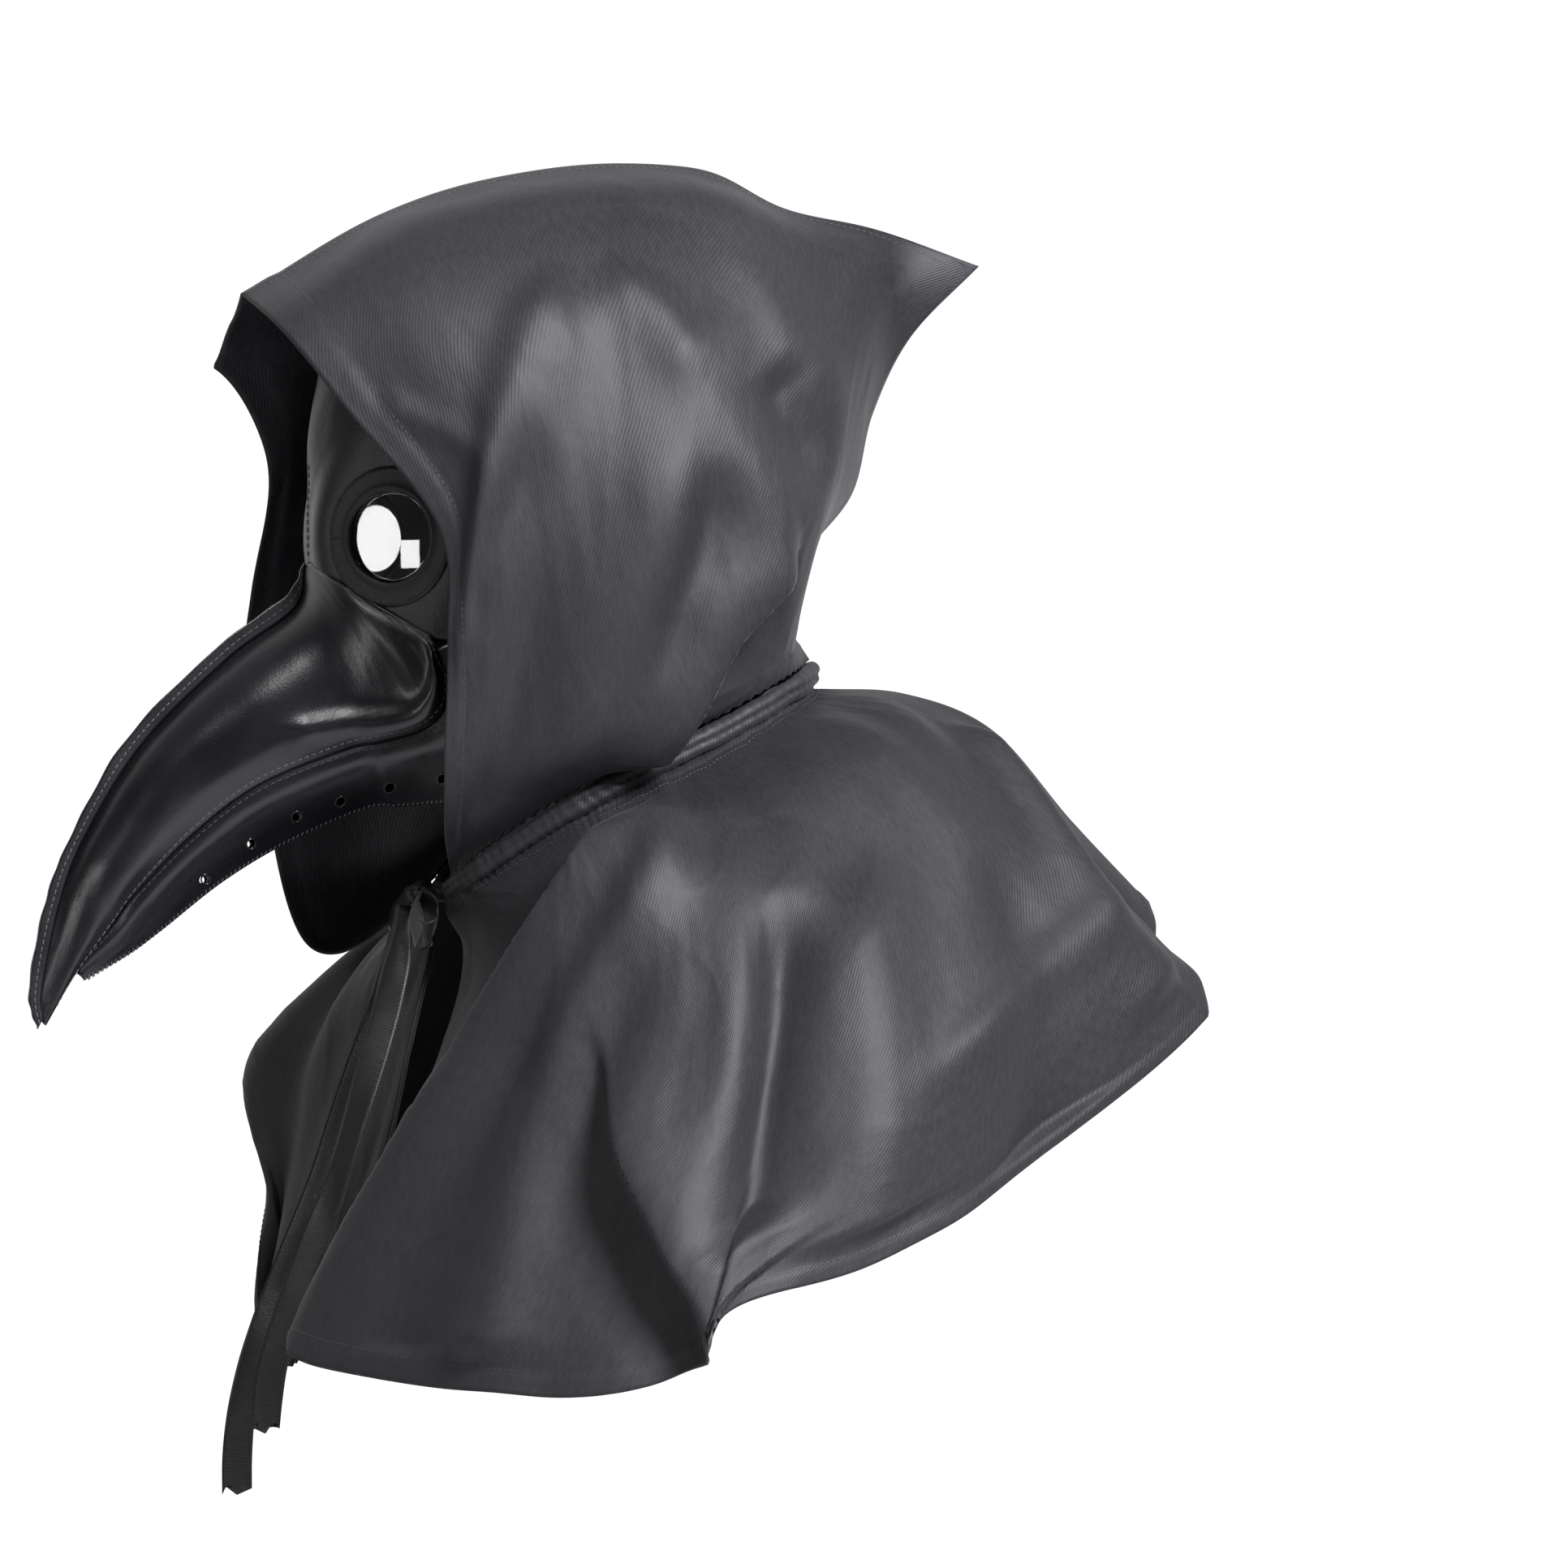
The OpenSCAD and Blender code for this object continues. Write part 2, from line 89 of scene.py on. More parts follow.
def flat_size(grid):
    """Mean length of the grid along its rows' direction and across it."""
    along = np.linalg.norm(np.diff(grid, axis=0), axis=-1).sum(0).mean()
    across = np.linalg.norm(np.diff(grid, axis=1), axis=-1).sum(1).mean()
    return along, across


def flat_coords(grid, us, vs):
    """Where each grid point was on the flat cloth or leather, in millimetres."""
    along, across = flat_size(grid)
    return np.stack(np.meshgrid(us * along, vs * across, indexing="ij"), -1)


def waves(at, size, seed, count=16, stretch=(1.0, 1.0)):
    """Smooth random relief from -1 to 1 made of plane waves about size long."""
    rng = np.random.RandomState(seed)
    total = np.zeros(at.shape[:-1])
    for _ in range(count):
        angle, phase = rng.uniform(0, 2 * math.pi, 2)
        length = size * rng.uniform(0.6, 1.8)
        k = 2 * math.pi / length * np.array([math.cos(angle), math.sin(angle)]) / np.array(stretch)
        total += np.sin(at @ k + phase)
    return total / math.sqrt(count) / 1.6


def guide_distance(at, guide):
    """Signed distance from a guide line, and the share of the line that is nearest."""
    guide = np.asarray(guide, float)
    best, signed, share = np.full(at.shape[:-1], 1e9), np.zeros(at.shape[:-1]), np.zeros(at.shape[:-1])
    for i in range(len(guide) - 1):
        a, b = guide[i], guide[i + 1]
        d = b - a
        t = np.clip(((at - a) @ d) / (d @ d), 0, 1)
        off = at - (a + t[..., None] * d)
        dist = np.linalg.norm(off, axis=-1)
        near = dist < best
        best = np.where(near, dist, best)
        cross = d[0] * off[..., 1] - d[1] * off[..., 0]
        signed = np.where(near, np.sign(cross) * dist, signed)
        share = np.where(near, (i + t) / (len(guide) - 1), share)
    return signed, share


def fold(at, size, guide, height, left, right, start=0.15, end=0.15):
    """Height of one fold along a guide given in shares of the cloth. left and right are how wide each side is."""
    points = spline(np.asarray(guide, float) * size, np.linspace(0, 1, 25))
    signed, share = guide_distance(at, points)
    width = np.where(signed > 0, left, right)
    fade = smooth(share / max(start, 1e-3)) * smooth((1 - share) / max(end, 1e-3))
    return height * fade * np.exp(-((signed / width) ** 2))


def step(at, size, guide, high_side, height, slow, depth, reach, start=0.2, end=0.1):
    """A fold that overlaps the cloth beside it: it rises slowly on its high side and drops sharply to the other."""
    points = spline(np.asarray(guide, float) * size, np.linspace(0, 1, 31))
    signed, share = guide_distance(at, points)
    signed = signed * high_side
    fade = smooth(share / max(start, 1e-3)) * smooth((1 - share) / max(end, 1e-3))
    over = np.where(signed > 0, np.exp(-((signed / slow) ** 2)), np.exp(-((signed / 3.5) ** 2)))
    under = (signed < 0) * smooth(-signed / 6) * np.exp(-((signed / reach) ** 2))
    return fade * (height * over - depth * under)


def mesh_object(name, verts, faces, material, uv=None, smooth_faces=True):
    mesh = bpy.data.meshes.new(name)
    mesh.from_pydata((np.asarray(verts) * MM).tolist(), [], [list(map(int, f)) for f in faces])
    mesh.polygons.foreach_set("use_smooth", [smooth_faces] * len(mesh.polygons))
    if uv is not None:
        layer = mesh.uv_layers.new(name="UVMap")
        index = np.zeros(len(mesh.loops), int)
        mesh.loops.foreach_get("vertex_index", index)
        layer.data.foreach_set("uv", (np.asarray(uv)[index] * MM).ravel())
    mesh.materials.append(material)
    mesh.update()
    obj = bpy.data.objects.new(name, mesh)
    bpy.context.scene.collection.objects.link(obj)
    return obj


def shell(name, grid, thickness, side, material, at, inside=None):
    """Closed sheet of one thickness under a grid of outer points, with another material inside if it is given."""
    n, m = grid.shape[:2]
    inner = grid - thickness * normals(grid, side)
    index = np.arange(n * m).reshape(n, m)
    top = np.stack([index[:-1, :-1], index[1:, :-1], index[1:, 1:], index[:-1, 1:]], -1).reshape(-1, 4)
    rim = np.concatenate([index[:, 0], index[-1, 1:], index[-2::-1, -1], index[0, -2:0:-1]])
    after = np.roll(rim, -1)
    walls = np.stack([after, rim, rim + n * m, after + n * m], -1)
    faces = np.concatenate([top, top[:, ::-1] + n * m, walls])
    if side < 0:
        faces = faces[:, ::-1]
    flat = at.reshape(-1, 2)
    obj = mesh_object(name, np.concatenate([grid.reshape(-1, 3), inner.reshape(-1, 3)]), faces, material,
                      np.concatenate([flat, flat]))
    if inside is not None:
        obj.data.materials.append(inside)
        inner_faces = np.arange(len(faces))
        inner_faces = ((inner_faces >= len(top)) & (inner_faces < 2 * len(top))).astype(int)
        obj.data.polygons.foreach_set("material_index", inner_faces)
    return obj


def tube(name, rings, material, closed=False, uv=None):
    """Skin through rings of points, with flat ends unless it is closed on itself."""
    n, s = rings.shape[:2]
    index = np.arange(n * s).reshape(n, s)
    after = np.roll(index, -1, axis=1)
    last = n if closed else n - 1
    faces = []
    for i in range(last):
        k = (i + 1) % n
        faces += np.stack([index[i], after[i], after[k], index[k]], -1).tolist()
    if not closed:
        faces += [index[0][::-1].tolist(), index[-1].tolist()]
    if uv is None:
        length = np.concatenate([[0], np.cumsum(np.linalg.norm(np.diff(rings.mean(1), axis=0), axis=-1))])
        round_ = np.linalg.norm(rings[:, 1:] - rings[:, :-1], axis=-1).mean(0)
        round_ = np.concatenate([[0], np.cumsum(round_)])
        uv = np.stack(np.meshgrid(length, round_, indexing="ij"), -1).reshape(-1, 2)
    return mesh_object(name, rings.reshape(-1, 3), faces, material, uv)


def frames(path, side):
    """Tangent, across and up directions along a path; side is roughly the across direction."""
    tangent = unit(np.gradient(path, axis=0))
    side = np.broadcast_to(np.asarray(side, float), path.shape)
    across = unit(side - tangent * (tangent * side).sum(-1, keepdims=True))
    return tangent, across, np.cross(tangent, across)


def swept(path, side, section):
    """Rings of a section of [across, up] offsets; section is one ring, or one for each point of the path."""
    _, across, up = frames(path, side)
    section = np.broadcast_to(section, (len(path),) + np.shape(section)[-2:])
    return path[:, None] + across[:, None] * section[..., :1] + up[:, None] * section[..., 1:]


def resample(path, step):
    """Points at even steps along a path, and the values of share along it."""
    length = np.concatenate([[0], np.cumsum(np.linalg.norm(np.diff(path, axis=0), axis=-1))])
    count = max(int(length[-1] / step), 2)
    want = (np.arange(count) + 0.5) * length[-1] / count
    return np.stack([np.interp(want, length, path[:, k]) for k in range(3)], -1), want / length[-1]


def stitches(name, path, normal, material, pitch=4.0, length=2.9, radius=0.32, lean=0.0, lift=0.05):
    """One row of thread stitches on a surface. lean turns each stitch across the row."""
    centres, share = resample(path, pitch)
    spread = np.linspace(0, 1, len(path))
    arc = np.concatenate([[0], np.cumsum(np.linalg.norm(np.diff(path, axis=0), axis=-1))])
    spread = arc / arc[-1]
    up = unit(np.stack([np.interp(share, spread, normal[:, k]) for k in range(3)], -1))
    along = unit(np.gradient(centres, axis=0))
    across = unit(np.cross(up, along))
    c, s = math.cos(lean), math.sin(lean)
    along, across = along * c + across * s, across * c - along * s
    rings = [(-0.5, 0.35), (-0.36, 0.9), (0, 1.0), (0.36, 0.9), (0.5, 0.35)]
    verts, faces = [], []
    for x, r in rings:
        for a in range(6):
            w = 2 * math.pi * a / 6
            verts.append(centres + along * x * length + across * r * radius * math.cos(w)
                         + up * (r * radius * math.sin(w) + lift - 0.25 * radius * (2 * x) ** 2))
    verts = np.stack(verts, 1).reshape(-1, 3)
    one = [[i * 6 + a, i * 6 + (a + 1) % 6, i * 6 + 6 + (a + 1) % 6, i * 6 + 6 + a] for i in range(4) for a in range(6)]
    one += [[5, 4, 3, 2, 1, 0], [24, 25, 26, 27, 28, 29]]
    for k in range(len(centres)):
        faces += [[v + 30 * k for v in f] for f in one]
    return mesh_object(name, verts, faces, material)


def joined(name, parts):
    """Several meshes as one object."""
    bpy.ops.object.select_all(action="DESELECT")
    for part in parts:
        part.select_set(True)
    bpy.context.view_layer.objects.active = parts[0]
    bpy.ops.object.join()
    parts[0].name = name
    parts[0].data.name = name
    return parts[0]


def cut(obj, cutters):
    """Cuts round holes through a mesh, then drops the cutters."""
    for cutter in cutters:
        modifier = obj.modifiers.new("hole", "BOOLEAN")
        modifier.operation = "DIFFERENCE"
        modifier.solver = "EXACT"
        modifier.object = cutter
        bpy.context.view_layer.objects.active = obj
        bpy.ops.object.modifier_apply(modifier=modifier.name)
        bpy.data.objects.remove(cutter)


def cylinder(centre, axis, radius, length, sides=48):
    """Plain cylinder used only as a cutter."""
    axis = unit(np.asarray(axis, float))
    across = unit(np.cross(axis, [0.3, 0.2, 1]))
    up = np.cross(axis, across)
    a = np.linspace(0, 2 * math.pi, sides, endpoint=False)
    ring = radius * (np.cos(a)[:, None] * across + np.sin(a)[:, None] * up)
    rings = np.stack([np.asarray(centre) - axis * length / 2 + ring, np.asarray(centre) + axis * length / 2 + ring])
    return tube("cutter", rings, leather_smooth)


# ---- materials ---------------------------------------------------------------------------------
def new_material(name, rough, specular=0.5):
    material = bpy.data.materials.new(name)
    material.use_nodes = True
    nodes, links = material.node_tree.nodes, material.node_tree.links
    shader = nodes["Principled BSDF"]
    shader.inputs["Roughness"].default_value = rough
    shader.inputs["Specular IOR Level"].default_value = specular
    return material, nodes, links, shader


def add(nodes, kind, **values):
    node = nodes.new(kind)
    for key, value in values.items():
        if key in node.inputs:
            node.inputs[key].default_value = value
        else:
            setattr(node, key, value)
    return node


def mapped(nodes, links, scale, angle=0.0, source="UV"):
    """Texture coordinates, turned and stretched."""
    coords = add(nodes, "ShaderNodeTexCoord")
    mapping = add(nodes, "ShaderNodeMapping")
    mapping.inputs["Rotation"].default_value = (0, 0, angle)
    mapping.inputs["Scale"].default_value = scale
    links.new(coords.outputs[source], mapping.inputs["Vector"])
    return mapping.outputs["Vector"]


def noise(nodes, links, vector, scale, detail=3.0, rough=0.55):
    node = add(nodes, "ShaderNodeTexNoise", Scale=scale, Detail=detail, Roughness=rough)
    links.new(vector, node.inputs["Vector"])
    return node.outputs["Fac"]


def ramp(nodes, links, value, stops):
    """Colours along a value from 0 to 1: stops is a list of (place, colour)."""
    node = add(nodes, "ShaderNodeValToRGB")
    elements = node.color_ramp.elements
    while len(elements) < len(stops):
        elements.new(0.5)
    for element, (place, colour) in zip(elements, stops):
        element.position = place
        element.color = (*colour, 1) if len(colour) == 3 else (colour[0],) * 3 + (1,)
    links.new(value, node.inputs["Fac"])
    return node.outputs["Color"]


def mixed(nodes, links, a, b, share, blend="MIX"):
    """Mixes two colours, each a socket or a constant."""
    node = nodes.new("ShaderNodeMix")
    node.data_type = "RGBA"
    node.blend_type = blend
    for socket, value in ((node.inputs[6], a), (node.inputs[7], b), (node.inputs[0], share)):
        if isinstance(value, bpy.types.NodeSocket):
            links.new(value, socket)
        else:
            socket.default_value = value
    return node.outputs[2]


def bump(nodes, links, height, distance, strength=1.0, below=None):
    node = add(nodes, "ShaderNodeBump", Strength=strength, Distance=distance)
    links.new(height, node.inputs["Height"])
    if below is not None:
        links.new(below, node.inputs["Normal"])
    return node.outputs["Normal"]


def twill(nodes, links, pitch, angle):
    """Diagonal ribs of a weave, with uneven threads."""
    vector = mapped(nodes, links, (1, 1, 1), angle)
    wave = add(nodes, "ShaderNodeTexWave", wave_type="BANDS", bands_direction="X", Distortion=1.2, Detail=1.0)
    wave.inputs["Scale"].default_value = 2 * math.pi / (20 * pitch * MM)
    wave.inputs["Detail Scale"].default_value = 0.6
    links.new(vector, wave.inputs["Vector"])
    return wave.outputs["Fac"]


def satin_material(name, dark, light, rough=0.61, sheen=0.05, specular=0.48):
    """Charcoal satin twill: fine diagonal ribs, slubs along them, small creases and a cool sheen."""
    material, nodes, links, shader = new_material(name, rough, specular)
    ribs = twill(nodes, links, 1.5, math.radians(150))
    slubs = noise(nodes, links, mapped(nodes, links, (520, 170, 1), math.radians(150)), 1.0, 2.0)
    creases = noise(nodes, links, mapped(nodes, links, (1, 1, 1)), 60.0, 4.0, 0.6)
    broad = noise(nodes, links, mapped(nodes, links, (1, 1, 1)), 9.0, 2.0)
    base = ramp(nodes, links, slubs, [(0.3, dark), (0.75, light)])
    base = mixed(nodes, links, base, ramp(nodes, links, ribs, [(0.15, (0.84,) * 3), (0.8, (1.07,) * 3)]), 1.0, "MULTIPLY")
    base = mixed(nodes, links, base, ramp(nodes, links, broad, [(0.3, (0.86,) * 3), (0.7, (1.1, 1.09, 1.14))]), 1.0, "MULTIPLY")
    links.new(base, shader.inputs["Base Color"])
    relief = bump(nodes, links, creases, 0.0009, 0.5)
    relief = bump(nodes, links, slubs, 0.00012, 0.3, relief)
    relief = bump(nodes, links, ribs, 0.00016, 0.4, relief)
    links.new(relief, shader.inputs["Normal"])
    shader.inputs["Sheen Weight"].default_value = sheen
    shader.inputs["Sheen Roughness"].default_value = 0.38
    shader.inputs["Sheen Tint"].default_value = (0.80, 0.78, 0.86, 1)
    shader.inputs["Anisotropic"].default_value = 0.2
    return material


def leather_material(name, colour, rough, grain, depth, coat):
    """Black leather: pebble grain or fine pores, uneven wear and a thin finish coat."""
    material, nodes, links, shader = new_material(name, rough, 0.5)
    vector = mapped(nodes, links, (1, 1, 1))
    cells = add(nodes, "ShaderNodeTexVoronoi", feature="SMOOTH_F1", Scale=grain, Smoothness=0.4)
    links.new(vector, cells.inputs["Vector"])
    warp = noise(nodes, links, vector, grain * 0.35, 4.0, 0.6)
    wear = noise(nodes, links, vector, 35.0, 5.0, 0.6)
    broad = noise(nodes, links, vector, 12.0, 2.0)
    base = ramp(nodes, links, wear, [(0.25, tuple(c * 0.7 for c in colour)), (0.8, tuple(c * 1.5 for c in colour))])
    links.new(base, shader.inputs["Base Color"])
    links.new(ramp(nodes, links, wear, [(0.2, (rough - 0.07,) * 3), (0.8, (rough + 0.09,) * 3)]), shader.inputs["Roughness"])
    relief = bump(nodes, links, broad, 0.004, 0.25)
    relief = bump(nodes, links, wear, 0.0008, 0.25, relief)
    relief = bump(nodes, links, warp, depth, 0.6, relief)
    relief = bump(nodes, links, cells.outputs["Distance"], depth, 0.5, relief)
    links.new(relief, shader.inputs["Normal"])
    shader.inputs["Coat Weight"].default_value = coat
    shader.inputs["Coat Roughness"].default_value = 0.28
    return material


def thread_material(name, colour):
    """Twisted sewing thread."""
    material, nodes, links, shader = new_material(name, 0.42, 0.6)
    fibres = noise(nodes, links, mapped(nodes, links, (1, 1, 1), 0.6, "Object"), 2500.0, 2.0)
    links.new(ramp(nodes, links, fibres, [(0.3, tuple(c * 0.6 for c in colour)), (0.7, colour)]), shader.inputs["Base Color"])
    links.new(bump(nodes, links, fibres, 0.0001, 0.6), shader.inputs["Normal"])
    shader.inputs["Sheen Weight"].default_value = 0.1
    return material


def ribbed_material(name, colour, pitch, rough, sheen):
    """Ribbon or elastic: ribs straight across its length, with fine fibres."""
    material, nodes, links, shader = new_material(name, rough, 0.5)
    wave = add(nodes, "ShaderNodeTexWave", wave_type="BANDS", bands_direction="X", Distortion=0.4, Detail=1.0)
    wave.inputs["Scale"].default_value = 2 * math.pi / (20 * pitch * MM)
    links.new(mapped(nodes, links, (1, 1, 1)), wave.inputs["Vector"])
    fibres = noise(nodes, links, mapped(nodes, links, (300, 2500, 1)), 1.0, 2.0)
    patches = noise(nodes, links, mapped(nodes, links, (1, 1, 1)), 40.0, 3.0)
    base = ramp(nodes, links, wave.outputs["Fac"], [(0.1, tuple(c * 0.55 for c in colour)), (0.8, tuple(c * 1.25 for c in colour))])
    base = mixed(nodes, links, base, ramp(nodes, links, patches, [(0.3, (0.8,) * 3), (0.7, (1.2,) * 3)]), 1.0, "MULTIPLY")
    links.new(base, shader.inputs["Base Color"])
    relief = bump(nodes, links, patches, 0.0015, 0.4)
    relief = bump(nodes, links, fibres, 0.0001, 0.4, relief)
    relief = bump(nodes, links, wave.outputs["Fac"], 0.0002, 0.6, relief)
    links.new(relief, shader.inputs["Normal"])
    shader.inputs["Sheen Weight"].default_value = sheen
    shader.inputs["Sheen Roughness"].default_value = 0.35
    return material


def lens_material():
    """Clear plastic with faint smudges."""
    material, nodes, links, shader = new_material("clear_lens", 0.03, 0.5)
    smudge = noise(nodes, links, mapped(nodes, links, (1, 1, 1), 0, "Object"), 55.0, 5.0)
    links.new(ramp(nodes, links, smudge, [(0.45, (0.01,) * 3), (0.8, (0.05,) * 3)]), shader.inputs["Roughness"])
    shader.inputs["Base Color"].default_value = (0.96, 0.975, 0.98, 1)
    shader.inputs["Transmission Weight"].default_value = 1.0
    shader.inputs["IOR"].default_value = 1.46
    return material


def floor_material():
    """Pale matte paper of a studio floor."""
    material, nodes, links, shader = new_material("floor_paper", 0.85, 0.1)
    fibre = noise(nodes, links, mapped(nodes, links, (1, 1, 1), 0, "Object"), 30.0, 2.0)
    links.new(ramp(nodes, links, fibre, [(0.3, (0.57, 0.57, 0.575)), (0.7, (0.60, 0.60, 0.605))]), shader.inputs["Base Color"])
    return material


leather_smooth = leather_material("leather_smooth", (0.0038, 0.0036, 0.0054), 0.31, 1500, 0.00010, 0.25)
leather_grain = leather_material("leather_grain", (0.0055, 0.0055, 0.0060), 0.48, 700, 0.00022, 0.05)
leather_ring = leather_material("leather_ring", (0.0035, 0.0035, 0.0040), 0.50, 1200, 0.00012, 0.0)
satin = satin_material("satin", (0.0092, 0.0089, 0.0107), (0.0174, 0.0168, 0.0200))
satin_band = satin_material("satin_band", (0.0105, 0.0103, 0.0120), (0.0205, 0.0200, 0.0235))
# Inner faces of the cape: the same satin, dull like a satin back, but painted near-black as painted shade so its inside
# and the gap at the front read as deep shadow
satin_back_painted_shade = satin_material("satin_back_painted_shade", (0.0030, 0.0030, 0.0032), (0.0050, 0.0050, 0.0055), 0.9, 0.0, 0.08)
# Inner faces of the hood: the same satin painted about two and a half times lighter than its face, painted light that
# stands in for the light reaching the far half's inside
hood_inside_painted_light = satin_material("hood_inside_painted_light", (0.0270, 0.0265, 0.0300), (0.0440, 0.0430, 0.0490), 0.65, 0.0, 0.25)
thread_dark = thread_material("thread_dark", (0.028, 0.028, 0.031))
thread_light = thread_material("thread_light", (0.075, 0.075, 0.082))
ribbon_satin = ribbed_material("ribbon_satin", (0.0085, 0.0085, 0.0095), 0.9, 0.38, 0.05)
elastic = ribbed_material("elastic_band", (0.008, 0.008, 0.009), 1.3, 0.7, 0.05)
clear_lens = lens_material()

# ---- camera ------------------------------------------------------------------------------------
AIM = Vector((0.0, 0.102, -0.1155))
WIDTH_SHOWN = 0.734
LENS = 600.0
VIEW_AZIMUTH = math.radians(83)
VIEW_HEIGHT = math.radians(0.3)


def add_camera():
    data = bpy.data.cameras.new("camera")
    data.lens = LENS
    data.sensor_width = 36.0
    camera = bpy.data.objects.new("camera", data)
    away = Vector((math.sin(VIEW_AZIMUTH) * math.cos(VIEW_HEIGHT), -math.cos(VIEW_AZIMUTH) * math.cos(VIEW_HEIGHT),
                   math.sin(VIEW_HEIGHT)))
    camera.location = AIM + away * (WIDTH_SHOWN * LENS / 36.0)
    camera.rotation_euler = (AIM - camera.location).to_track_quat("-Z", "Y").to_euler()
    bpy.context.scene.collection.objects.link(camera)
    bpy.context.scene.camera = camera


add_camera()

# ---- ribbon tails (free cords) -----------------------------------------------------------------
RIBBON_W = 15.0
TAIL_LEFT = [[5, -77, -172], [6, -79, -190], [8, -83, -207], [8, -87, -224], [9, -92, -241], [9, -97, -258],
             [8, -102, -275], [7, -107, -292], [6, -112, -308], [5, -118, -324], [4, -124, -340], [3, -130, -356],
             [2, -135, -372], [1, -139, -388], [0, -141, -403], [0, -142, -418]]
TAIL_RIGHT = [[-4, -77, -172], [-6, -80, -191], [-8, -84, -209], [-9, -89, -227], [-10, -95, -245],
              [-11, -101, -263], [-12, -107, -281], [-12, -113, -299], [-12, -120, -317], [-12, -127, -334],
              [-13, -134, -351], [-13, -141, -368], [-13, -147, -385], [-13, -151, -402], [-13, -153, -417],
              [-13, -154, -432], [-13, -154, -447]]


def flat_section(width, thickness, points=7, crease=0.0):
    """Ring of a thin flat band, a little hollow along its middle."""
    x = np.linspace(-1, 1, points)
    dip = crease * (1 - x**2)
    top = np.stack([x * width / 2, dip + thickness / 2 * (1 - 0.5 * np.abs(x) ** 6)], -1)
    under = np.stack([x[::-1] * width / 2, dip - thickness / 2 * (1 - 0.5 * np.abs(x[::-1]) ** 6)], -1)
    return np.concatenate([top, under])


def ribbon_tail(name, route, turn, seed):
    """A hanging ribbon, pinched at the knot, gently twisted, with a frayed slanted end."""
    steps = 90
    t = np.linspace(0, 1, steps)
    path = spline(route, t)
    angle = np.radians(turn + 9 * np.sin(2 * math.pi * (1.3 * t + seed)) + 5 * np.sin(2 * math.pi * (3.1 * t + 2 * seed)))
    side = np.stack([np.cos(angle), np.sin(angle), np.zeros(steps)], -1)
    wide = 0.5 + 0.5 * smooth(8 * t)
    sections = np.stack([flat_section(RIBBON_W * w, 0.7, 9, 1.6 * (1 - smooth(5 * s)) + 0.5 * math.sin(9 * s + seed))
                         for w, s in zip(wide, t)])
    rings = swept(path, side, sections)
    rng = np.random.RandomState(int(seed * 10) + 3)
    reach = np.interp(np.arange(9), [0, 2, 4, 6, 8], [0, -5, 1, -7, -2]) + rng.uniform(-1.5, 1.5, 9)
    end = rings[-1] - rings[-2]
    fray = np.concatenate([reach, reach[::-1]])[:, None] * unit(end)
    rings[-1] += fray * 0.8
    obj = tube(name, rings, ribbon_satin)
    return obj, path


def add_tail(name, node, route, turn, seed):
    obj, path = ribbon_tail(name, route, turn, seed)
    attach(obj, "cape")
    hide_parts(node)


add_tail("ribbon_tail_near", "ribbon_tail_left", TAIL_LEFT, 52, 0.2)
add_tail("ribbon_tail_far", "ribbon_tail_right", TAIL_RIGHT, 62, 0.7)

# ---- mask --------------------------------------------------------------------------------------
LEATHER_T = 1.4
TEMPLE_HALF_W, FACE_DEPTH, TEMPLE_Y = 88.0, 152.0, 30.0
EYE_ANGLE, EYE_FLAT_R, EYE_BLEND, EYE_SINK = math.radians(38), 34.0, 22.0, 1.8
EYE_HOLE_D, EYE_RING_D, EYE_BORE_D = 46.0, 66.0, 43.0
VENT_D = 4.2
LENS_DOME = 0.6
EYE_NORMAL = unit(np.array([math.sin(EYE_ANGLE) / TEMPLE_HALF_W, -math.cos(EYE_ANGLE) / FACE_DEPTH, 0]))
EYE_CENTRE = np.array([TEMPLE_HALF_W * math.sin(EYE_ANGLE), TEMPLE_Y - FACE_DEPTH * math.cos(EYE_ANGLE), 0]) \
    - EYE_SINK * EYE_NORMAL
FACE_LOW = [-12, -14, -19, -28, -44, -48, -45, -41, -36]
FACE_HIGH = [86, 88, 90, 91, 91, 89, 83, 74, 62]
RIDGE_EDGE = [[1.6, -249, -230], [1.6, -253, -212], [1.6, -246, -173], [1.6, -234, -141], [1.6, -207, -94],
              [1.6, -164, -51], [1.6, -132, -27], [1.6, -124, -12]]
BEAK = [
    [[1.6, -247, -226], [2.2, -246.5, -226.5], [2.8, -246, -227], [2.6, -245.5, -227.5], [1.8, -245, -228]],
    [[1.6, -247, -211], [4, -244, -210], [6, -240, -209], [6.5, -236, -208], [5, -232, -205]],
    [[1.6, -239, -172], [8, -234, -173], [12, -228, -176], [13, -222, -180], [9, -215, -182]],
    [[1.6, -228, -142], [12, -224, -145], [19, -217, -151], [20, -210, -160], [15, -203, -165]],
    [[1.6, -201, -98], [16, -198, -103], [27, -192, -112], [29, -185, -126], [24, -176, -137]],
    [[1.6, -160, -57], [18, -158, -64], [33, -154, -78], [39, -150, -99], [34, -147, -115]],
    [[1.6, -128, -33], [24, -124, -39], [43, -118, -56], [51, -112, -80], [46, -108, -99]],
    [[1.6, -123.5, -13], [30, -118, -22], [51, -106, -44], [58, -98, -76], [52, -93, -96]],
    [[31, -115, -19], [46, -107, -27], [59, -95, -46], [66, -81, -73], [61, -74, -90]],
    [[48, -98, -30], [57, -90, -37], [65, -80, -50], [70, -69.5, -68], [67, -65, -80]],
    [[67, -72, -46], [68.5, -70, -50], [70, -68, -54], [71, -66.5, -59], [70, -65, -63]]]
